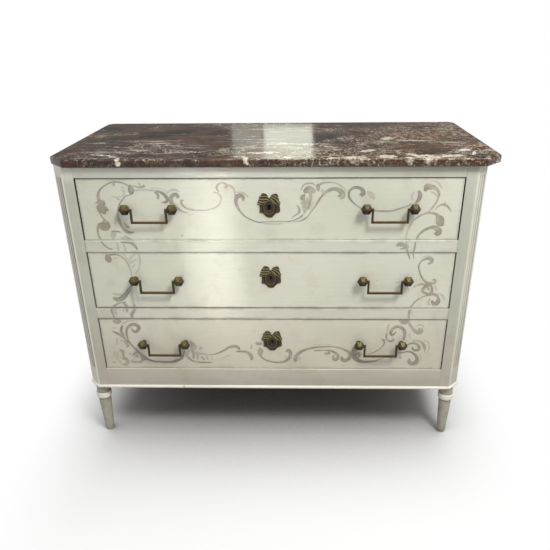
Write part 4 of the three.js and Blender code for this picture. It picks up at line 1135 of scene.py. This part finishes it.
def makePost(side):
    post = copyOf(side + "_corner_post", side + "CornerPost", [postPaint, edgePaint, oakAcross])
    arris = paintLook["arrisReach"] * mm

    def isArris(a, b):
        beside = abs(abs(a.x - caseMiddle) - arris) < 0.3 * mm
        return isUpright(a, b) and beside and a.y < caseShape["arrisFront"] * mm

    def isFlute(a, b):
        beyond = abs(a.x - caseMiddle) > arris + 1 * mm
        return isUpright(a, b) and beyond and a.y < caseShape["flutesFront"] * mm

    def isHidden(centre, normal):
        inward = normal.x if side == "left" else -normal.x
        return normal.y > 0.5 or inward > 0.5 and centre.y > caseShape["paintedFront"] * mm

    soften(post, caseShape["arris"] * mm, isArris, slot=faceSlot)
    soften(post, caseShape["flute"] * mm, isFlute)
    bareWhere(post, bareSlot, isHidden)
    dress(smooth(post), side + "_corner_post")


def makeSide(side):
    panel = copyOf(side + "_side_panel", side + "SidePanel", [sidePaint, edgePaint, oakDeep])
    inward = 1 if side == "left" else -1
    bareWhere(panel, bareSlot, lambda centre, normal: normal.x * inward > 0.5)
    dress(smooth(panel), side + "_side_panel")


def makeRail(rail, material):
    name = rail.split("_")[0] + "Rail"
    board = copyOf(rail, name, [material, edgePaint, oakAcross])
    low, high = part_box(rail)

    def isLong(a, b):
        return isOnFront(a, b, low.y) and abs(a.x - b.x) > caseShape["longFrom"] * mm

    soften(board, caseShape["board"] * mm, isLong)
    bareWhere(board, bareSlot, lambda centre, normal: normal.y > 0.5)
    if rail in caseShape["lift"]:
        half = caseShape["openingHalf"] * mm
        start = Vector((caseMiddle - half, low.y, low.z))
        end = Vector((caseMiddle + half, high.y, high.z))
        film = paintSheet(name + "Film", start, end, material, caseShape["lift"][rail])
        board = joined(board, film)
    dress(smooth(board), rail)


def makeBase():
    base = copyOf("base_board", "baseBoard", [beadPaint, oakAcross])
    half = caseShape["openingHalf"] * mm

    def isUnderside(centre, normal):
        return normal.z < -0.9 and abs(centre.x - caseMiddle) < half

    bareWhere(base, 1, isUnderside)
    dress(smooth(base, 40), "base_board")


for side in sides:
    makePost(side)
    makeSide(side)
railMaterials = {
    "top_rail": framePaint,
    "upper_rail": railPaint,
    "lower_rail": railPaint,
    "bottom_rail": lowRailPaint,
}
for rail, material in railMaterials.items():
    makeRail(rail, material)
makeBase()
back = copyOf("back_panel", "backPanel", [oakAcross])
dress(smooth(back), "back_panel")
print("the case stands")


# Drawer fronts, with their paint and ornament

drawerShape = {
    "round": 1.2,
    "keyDrop": 5.2,
    # the wood is bare this far behind the front, or this near the keyhole, in millimetres
    "bareAcross": 16,
    "bareBack": 4,
    "bareRound": 16,
    # only edges from this length on are rounded
    "longFrom": 50,
}


def makeDrawerFront(level):
    shape = {key: value * mm for key, value in drawerShape.items()}
    node = level + "_drawer_front"
    low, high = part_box(node)
    front = copyOf(node, level + "DrawerFront", [drawerPaint, edgePaint, oakAcross])
    plateLow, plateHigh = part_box(level + "_escutcheon")
    keyX, keyZ = (plateLow.x + plateHigh.x) / 2, (plateLow.z + plateHigh.z) / 2 - shape["keyDrop"]

    def isEdge(a, b):
        return isOnFront(a, b, low.y) and (a - b).length > shape["longFrom"]

    def isBehind(centre, normal):
        if centre.y <= low.y + shape["bareBack"] or normal.y <= -0.5:
            return False
        return normal.y > 0.5 or centre.y > low.y + shape["bareAcross"]

    def isInKeyhole(centre, normal):
        away = math.hypot(centre.x - keyX, centre.z - keyZ)
        return normal.y > -0.5 and away < shape["bareRound"]

    soften(front, shape["round"], isEdge)
    bareWhere(front, bareSlot, isBehind)
    bareWhere(front, bareSlot, isInKeyhole)
    film = paintSheet(level + "DrawerFilm", low, high, drawerPaint, keyAt=(keyX, keyZ))
    dress(smooth(joined(front, film)), node)


insides = {
    "_drawer_left_side": oakDeep,
    "_drawer_right_side": oakDeep,
    "_drawer_bottom": oakDeep,
    "_drawer_back": oakAcross,
    "_runner_frame": oakDeep,
    "_lock_case": lockIron,
    "_lock_bolt": lockIron,
}

for level in levels:
    makeDrawerFront(level)
    for part, material in insides.items():
        for place in frame["nodes"][level + part].material_slots:
            place.material = material
print("the drawers are in")


# Legs, turned

legShape = {
    "sides": 56,
    "topRadius": 10.0,
    # height above the floor and radius
    "rings": [(0.0, 10.4), (0.9, 12.3), (3.0, 13.2), (40.0, 14.95), (80.0, 16.9), (118.0, 18.85),
        (123.4, 19.2), (124.0, 18.2), (124.6, 17.6), (126.0, 17.6), (126.6, 18.3), (127.0, 19.9),
        (127.8, 21.4), (129.2, 22.3), (131.0, 22.7), (143.0, 22.7), (144.8, 22.4), (146.2, 21.5),
        (147.0, 20.3), (148.0, 20.0), (153.0, 19.7), (162.0, 19.55), (170.0, 19.9), (174.5, 20.6),
        (176.4, 20.7), (176.5, 10.0)],
}


def turnLeg():
    rings = legShape["rings"]
    leg = add(bpy.ops.mesh.primitive_circle_add, "legPattern", [legFinish],
        vertices=legShape["sides"], radius=rings[0][1] * mm, fill_type="NGON",
        location=(0, 0, 0))
    bpy.ops.object.mode_set(mode="EDIT")
    bpy.ops.mesh.select_mode(type="FACE")
    bpy.ops.mesh.select_all(action="SELECT")
    top = (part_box("front_left_leg")[1].z / mm, legShape["topRadius"])
    for (lowHeight, lowRadius), (height, radius) in zip(rings, rings[1:] + [top]):
        rise, share = (0, 0, (height - lowHeight) * mm), radius / lowRadius
        bpy.ops.mesh.extrude_region_move(TRANSFORM_OT_translate={"value": rise})
        bpy.ops.transform.resize(value=(share, share, 1), center_override=(0, 0, height * mm))
    return smooth(done(leg, turnOut=True), 28)


pattern = turnLeg()
for end in ("front", "rear"):
    for side in sides:
        node = end + "_" + side + "_leg"
        low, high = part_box(node)
        leg = placed(end + side.capitalize() + "Leg", pattern.data.copy())
        leg.data.transform(Matrix.Translation(((low.x + high.x) / 2, (low.y + high.y) / 2, 0)))
        dress(leg, node)
bpy.data.objects.remove(pattern)
print("the legs are turned")


# The marble slab

slabShape = {"cant": 45, "rearClip": 11, "rearRun": 22, "cornerRound": 2.5, "edgeRound": 6}


def cutSlab():
    shape = {key: value * mm for key, value in slabShape.items()}
    low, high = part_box("marble_top")

    def isCorner(a, b):
        return abs(a.z - b.z) > 5 * mm

    def isRim(a, b):
        return abs(a.z - b.z) < 0.1 * mm

    slab = add(bpy.ops.mesh.primitive_cube_add, "marbleSlab", [marbleStone], high - low,
        size=1, location=(low + high) / 2)
    edit(slab)
    for x, way in ((low.x, -1), (high.x, 1)):
        front = ((x - way * shape["cant"], low.y, 0), (way, -1, 0))
        rear = ((x - way * shape["rearClip"], high.y, 0), (way * shape["rearRun"], shape["rearClip"], 0))
        for spot, outward in (front, rear):
            bpy.ops.mesh.select_all(action="SELECT")
            bpy.ops.mesh.bisect(plane_co=spot, plane_no=outward, use_fill=True, clear_outer=True)
    done(slab)
    soften(slab, shape["cornerRound"], isCorner, segments=3, slot=sameSlot, sharp=10)
    soften(slab, shape["edgeRound"], isRim, segments=6, slot=sameSlot, sharp=60)
    return dress(smooth(slab, 40), "marble_top")


cutSlab()
print("the slab lies on the case")


# Handles: faceted knobs and square bails

handleShape = {
    "knobRound": 0.4,
    "knobEdge": 2.5,
    "knobFront": -262,
    "bailRound": 0.7,
    "bailEdge": 4,
}
# painted light: the way up to the light that the handles' colour follows, and what it starts from and
# gains
sheenLook = {"sky": (0.10, -0.42, 0.90), "base": 0.19, "gain": 0.62}


def lightByFacing(piece):
    # painted light: near 1 on metal that faces up and forward, towards the light, and near 0 underneath,
    # in painted shade
    sky = Vector(sheenLook["sky"]).normalized()
    facing = [max(0.0, face.normal.dot(sky)) for face in piece.data.polygons]
    base, gain = sheenLook["base"], sheenLook["gain"]
    record(piece, "patinaAndSheen", [base + gain * share for share in facing], "FACE")
    return piece


def hangHandle(level, side):
    shape = {key: value * mm for key, value in handleShape.items()}

    def isKnobEdge(a, b):
        return (a - b).length > shape["knobEdge"] and max(a.y, b.y) < shape["knobFront"]

    def isBailEdge(a, b):
        return (a - b).length > shape["bailEdge"]

    start, title = level + "_" + side, level + side.capitalize()
    for end in sides:
        node = start + "_handle_" + end + "_post"
        post = copyOf(node, title + "Knob" + end.capitalize(), [handleBrass])
        soften(post, shape["knobRound"], isKnobEdge, slot=sameSlot, sharp=18)
        dress(lightByFacing(smooth(post, 16)), node)
    bail = copyOf(start + "_bail", title + "Bail", [bailBrass])
    soften(bail, shape["bailRound"], isBailEdge, segments=3, slot=sameSlot)
    dress(lightByFacing(smooth(bail, 30)), start + "_bail")


for level in levels:
    for side in sides:
        hangHandle(level, side)
print("the handles hang")


# Escutcheons: a cast plate with ribbon loops, a collar and a moulded rim

plateShape = {
    "halfWidth": 30.25,
    "halfHeight": 32.5,
    "thickness": 1.6,
    "keyRadius": 4.3,
    "keySlot": 2.3,
    "keyHeight": 16,
    "keyLow": -5.2,
    "around": 200,
    "rings": 38,
    "probes": 120,
    "probeStep": 0.15,
    # ridges, each a height, a middle and a width in millimetres
    "edgeRidge": (0.5, 1.5, 1.0),
    "lowRidge": (0.7, 4.2, 1.1),
    "lowRidgeTop": -8,
    "sideRidges": ((0.9, 23.6, 1.3), (0.5, 20.0, 1.1)),
    "sideRidgeSpan": (-21, 1),
    # the collar's oval: half width, half height and drop, then its ridges as shares of the oval
    "oval": (14.0, 18.5, 5.5),
    "ovalRidges": ((1.5, 0.97, 0.09), (0.7, 0.62, 0.10)),
    # the bow's folds: shares of x and z, pitch, sway, the sway's pitch and the start;
    # the left loop's lie level, the right one's run down to the side
    "leftFolds": (0.20, 1.0, 7.4, 1.3, 4.2, 0.6),
    "rightFolds": (0.62, 0.78, 7.2, 0.9, 3.6, -1.2),
    # what the patina, and the ridges' rubbed colour that is partly painted highlight, take from the
    # relief
    "patinaAndSheen": (0.24, 0.42),
    # where the bow begins, as a share of the oval, and over how much it grows
    "bowStart": (0.88, 0.3),
    # the height above which it shows, how that falls to the sides, and over how much it grows
    "bowFoot": (1.0, 0.12, 6),
    "foldHeight": 2.0,
    "foldPower": 2.6,
    "bowHeight": 0.3,
    # rings lie closer towards the outline, and the relief rises from the keyhole's edge
    "ringPower": 0.85,
    "holeRise": (0.3, 1.5),
    # the outline as shares of the half sizes, round from the notch between the loops
    "outline": [(0, 0.57), (-0.08, 0.72), (-0.15, 0.88), (-0.32, 0.97), (-0.55, 1.0), (-0.67, 0.85),
        (-0.82, 0.69), (-0.85, 0.51), (-0.95, 0.32), (-1.0, 0.05), (-0.82, 0.02), (-0.80, -0.29),
        (-0.82, -0.57), (-0.65, -0.63), (-0.52, -0.66), (-0.28, -0.91), (-0.15, -0.98), (0.05, -1.0),
        (0.25, -0.98), (0.48, -0.75), (0.65, -0.63), (0.88, -0.57), (0.95, -0.38), (0.92, -0.05),
        (0.98, 0.23), (0.88, 0.38), (0.82, 0.66), (0.70, 0.94), (0.48, 0.95), (0.22, 0.85), (0.13, 0.69)],
}


def swell(value, ridge):
    # a soft ridge, highest at its middle
    height, middle, width = ridge
    return height * math.exp(-((value - middle) / width) ** 2)


def reliefAt(x, z, edge):
    # height above the flat plate in millimetres; edge is the way in from the outline
    shape = plateShape
    height = swell(edge, shape["edgeRidge"])
    halfWide, halfTall, drop = shape["oval"]
    oval = math.hypot(x / halfWide, (z + drop) / halfTall)
    if z < shape["lowRidgeTop"]:
        height += swell(edge, shape["lowRidge"])
    height += sum(swell(oval, ridge) for ridge in shape["ovalRidges"])
    # the bow grows out of the collar and stands above the plate's middle
    (start, span), (foot, fall, rise) = shape["bowStart"], shape["bowFoot"]
    beyond, above = (oval - start) / span, (z - foot + abs(x) * fall) / rise
    grow = min(1.0, max(0.0, beyond)) * min(1.0, max(0.0, above))
    shareX, shareZ, pitch, sway, swayPitch, begin = shape["leftFolds" if x < 0 else "rightFolds"]
    swaying = sway * math.sin((x if x < 0 else z) / swayPitch)
    turn = 2 * math.pi * (shareX * x + shareZ * z) / pitch + swaying + begin
    fold = shape["foldHeight"] * (0.5 + 0.5 * math.cos(turn)) ** shape["foldPower"]
    height += (fold + shape["bowHeight"]) * grow
    low, high = shape["sideRidgeSpan"]
    if low < z < high:
        height += sum(swell(abs(x), ridge) for ridge in shape["sideRidges"])
    return height


def keyholeEdge(wayX, wayZ):
    # where a line from the keyhole's middle leaves it: a round hole over a slot
    shape = plateShape
    radius, slot, low = shape["keyRadius"], shape["keySlot"], shape["keyLow"]
    top, bottom = shape["keyHeight"] / 2 - radius + low, -shape["keyHeight"] / 2 + low
    for step in range(shape["probes"]):
        reach = step * shape["probeStep"]
        x, z = wayX * reach, wayZ * reach + low
        if math.hypot(x, z - top) > radius and not (abs(x) < slot and bottom < z < top):
            break
    return x, z


def castPlate():
    shape = plateShape
    count, rings = shape["around"], shape["rings"]
    points = [(x * shape["halfWidth"], z * shape["halfHeight"]) for x, z in shape["outline"]]
    outline = smoothLine(points + points[:1], 8)
    turns = np.unwrap(np.arctan2(outline[:, 1], outline[:, 0]))
    angles = turns[0] + np.arange(count) / count * (turns[-1] - turns[0])
    order = np.argsort(turns)
    outX = np.interp(angles, turns[order], outline[order, 0])
    outZ = np.interp(angles, turns[order], outline[order, 1])
    ways = [keyholeEdge(math.cos(angle), math.sin(angle)) for angle in angles]
    least, wide = shape["holeRise"]
    mesh = bmesh.new()
    rows, heights = [], []
    for ring in range(rings + 1):
        share = (ring / rings) ** shape["ringPower"]
        row = []
        for i, (inX, inZ) in enumerate(ways):
            x = inX + (outX[i] - inX) * share
            z = inZ + (outZ[i] - inZ) * share
            edge, hole = math.hypot(outX[i] - x, outZ[i] - z), math.hypot(x - inX, z - inZ)
            height = reliefAt(x, z, edge) * min(1.0, edge) * min(1.0, least + hole / wide)
            heights.append(height)
            row.append(mesh.verts.new((x * mm, -(shape["thickness"] + height) * mm, z * mm)))
        rows.append(row)
    for row in (rows[-1], rows[0]):
        rows.append([mesh.verts.new((v.co.x, 0, v.co.z)) for v in row])
        heights += [0.0] * count
    for a, b in zip(rows, rows[1:] + rows[:1]):
        for i in range(count):
            mesh.faces.new((a[i], a[(i + 1) % count], b[(i + 1) % count], b[i]))
    data = bpy.data.meshes.new("platePattern")
    mesh.to_mesh(data)
    mesh.free()
    plate = placed("platePattern", data)
    data.materials.append(plateBrass)
    edit(plate)
    done(plate, turnOut=True)
    base, gain = shape["patinaAndSheen"]
    record(plate, "relief", [base + gain * height for height in heights])
    return smooth(plate, 60)


pattern = castPlate()
for level in levels:
    node = level + "_escutcheon"
    low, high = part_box(node)
    plate = placed(level + "Escutcheon", pattern.data.copy())
    plate.data.transform(Matrix.Translation(((low.x + high.x) / 2, high.y, (low.z + high.z) / 2)))
    dress(plate, node)
bpy.data.objects.remove(pattern)
print("the escutcheons are on")


# Floor, light and camera

floorSet = {
    "size": 60,
    # in metres: the pale floor ends in white at whiteAt beyond near, each weighed by its slope
    "near": (0.47, 0.27),
    "slope": (2.0, 0.75),
    "whiteAt": 0.62,
    "coverReach": 0.55,
    "covered": (0.13, 0.13, 0.135, 1),
    "open": (0.90, 0.90, 0.90, 1),
    "cloud": (0.85, 0.85, 0.85, 1),
    "dull": (0.38, 0.38, 0.38, 1),
}
white = (1, 1, 1, 1)


def floorLook():
    # pale for the camera and in reflections, fading to white; duller in the light that it throws back
    look = floorSet
    shop = newShop("paleFloor")
    at = shop.at()
    x, y = shop.apart(at)[:2]
    (nearX, nearY), (slopeX, slopeY) = look["near"], look["slope"]
    outX = shop.sum("MAXIMUM", abs(x - caseMiddle) - nearX, 0.0) * slopeX
    outY = shop.sum("MAXIMUM", abs(y) - nearY, 0.0) * slopeY
    away = shop.sum("SQRT", outX * outX + outY * outY)
    # painted shade: the floor is darker where the piece hides it, found by ambient occlusion
    reach = {"Distance": look["coverReach"]}
    cover = shop.node("ShaderNodeAmbientOcclusion", {"samples": 12}, reach, "AO")
    shade = shop.blend(shop.fade(cover, 0.05, 0.95), look["covered"], look["open"])
    pale = shop.shader(shop.stain(shop.noise(at, 2.0) * 0.05, shade, look["cloud"]), "BsdfDiffuse")
    dull = shop.shader(look["dull"], "BsdfDiffuse")
    share = shop.fade(away, 0.0, look["whiteAt"])
    lit = shop.node("ShaderNodeMixShader", None, {0: share, 1: pale, 2: shop.shader(white)})
    return shop.close(shop.node("ShaderNodeMixShader", None, {0: shop.inSight(), 1: dull, 2: lit}))


floor = add(bpy.ops.mesh.primitive_plane_add, "paleFloor", [floorLook()],
    size=floorSet["size"], location=(0, 0, 0))

lightSet = {
    # place, aim, width, height, watts, spread in degrees
    "keyLight": ((1.17, -1.69, 2.84), (0.0, -0.25, 0.5), 0.8, 0.8, 63.0, 180),
    "beamLight": ((-0.50, -2.4, 1.5), (-0.172, -0.25, 0.62), 0.06, 0.42, 0.060, 5),
    "wideLight": ((-0.90, -2.3, 1.9), (-0.12, -0.25, 0.56), 0.16, 0.16, 0.07, 16),
    "fillLight": ((-1.2, -2.8, 1.2), (-0.1, -0.2, 0.5), 1.8, 1.4, 6.5, 180),
    "rightLight": ((2.6, -1.3, 1.5), (0.3, -0.2, 0.5), 0.8, 0.8, 7.0, 180),
    "leftLight": ((-2.6, -1.3, 1.5), (-0.3, -0.2, 0.5), 0.8, 0.8, 6.5, 180),
    "topLight": ((0.0, 0.2, 3.4), (0.0, 0.0, 0.8), 2.0, 2.0, 16.0, 180),
    "windowLight": ((-0.05, 4.0, 2.1), (0.0, 0.0, 0.9), 0.50, 1.5, 4.2, 180),
    "windowEdge": ((-0.455, 4.0, 2.1), (0.0, 0.0, 0.9), 0.30, 1.5, 0.85, 180),
}

windowTint = (0.96, 1.0, 0.86)
for name, (place, aim, width, height, watts, spread) in lightSet.items():
    lamp = bpy.data.lights.new(name, "AREA")
    lamp.shape = "RECTANGLE"
    lamp.size, lamp.size_y, lamp.energy, lamp.spread = width, height, watts, math.radians(spread)
    if name.startswith("window"):
        lamp.color = windowTint
    holder = placed(name, lamp)
    holder.location = place
    holder.rotation_euler = (Vector(aim) - Vector(place)).to_track_quat("-Z", "Y").to_euler()
    holder.visible_camera = False


studioGrey = (0.36, 0.36, 0.36, 1)


def skyLook():
    # white for the camera and in reflections, and plain grey light
    world = bpy.data.worlds.new("studio")
    bpy.context.scene.world = world
    shop = Shop(world)
    shop.close(shop.shader(shop.blend(shop.inSight(), studioGrey, white), "Background"), "World")


skyLook()

# a card behind the piece, which only reflections show: it keeps the polished slab dark
darkCard = {"wide": 14, "tall": 7, "behind": 4.4, "grey": (0.17, 0.17, 0.16, 1)}


def addDarkCard():
    wide, tall = darkCard["wide"], darkCard["tall"]
    shop = newShop("darkCard")
    shop.close(shop.shader(darkCard["grey"]))
    card = add(bpy.ops.mesh.primitive_plane_add, "darkCard", [shop.owner], (wide, tall, 1),
        size=1, location=(0, darkCard["behind"], tall / 2), rotation=(math.pi / 2, 0, 0))
    for ray in ("camera", "diffuse", "transmission", "shadow", "volume_scatter"):
        setattr(card, "visible_" + ray, False)


addDarkCard()

photoView = {
    # millimetres, radians and pixels
    "place": (65.4, -1682.45, 1181.1),
    "turn": -0.0274,
    "dip": 0.4511,
    "roll": -0.0102,
    "focalPixels": 567.43,
    "centrePixels": (285, 295),
    "framePixels": 550,
    "sensor": 36,
    "clipEnd": 100,
}


def addCamera():
    view = photoView
    turn, dip, roll, wide = view["turn"], view["dip"], view["roll"], view["framePixels"]
    ahead = Vector((math.sin(turn) * math.cos(dip), math.cos(turn) * math.cos(dip), -math.sin(dip)))
    level = Vector((math.cos(turn), -math.sin(turn), 0))
    over = level.cross(ahead)
    right = level * math.cos(roll) + over * math.sin(roll)
    top = over * math.cos(roll) - level * math.sin(roll)
    lens = bpy.data.cameras.new("photoCamera")
    lens.sensor_fit = "HORIZONTAL"
    lens.sensor_width = view["sensor"]
    lens.lens = view["focalPixels"] / wide * view["sensor"]
    lens.shift_x = (wide / 2 - view["centrePixels"][0]) / wide
    lens.shift_y = (view["centrePixels"][1] - wide / 2) / wide
    lens.clip_end = view["clipEnd"]
    camera = placed("photoCamera", lens)
    facing = Matrix((right, top, -ahead)).transposed().to_4x4()
    camera.matrix_world = Matrix.Translation(Vector(view["place"]) * mm) @ facing
    bpy.context.scene.camera = camera


addCamera()
bpy.context.scene.view_settings.view_transform = "Standard"
print("floor, light and camera are set")
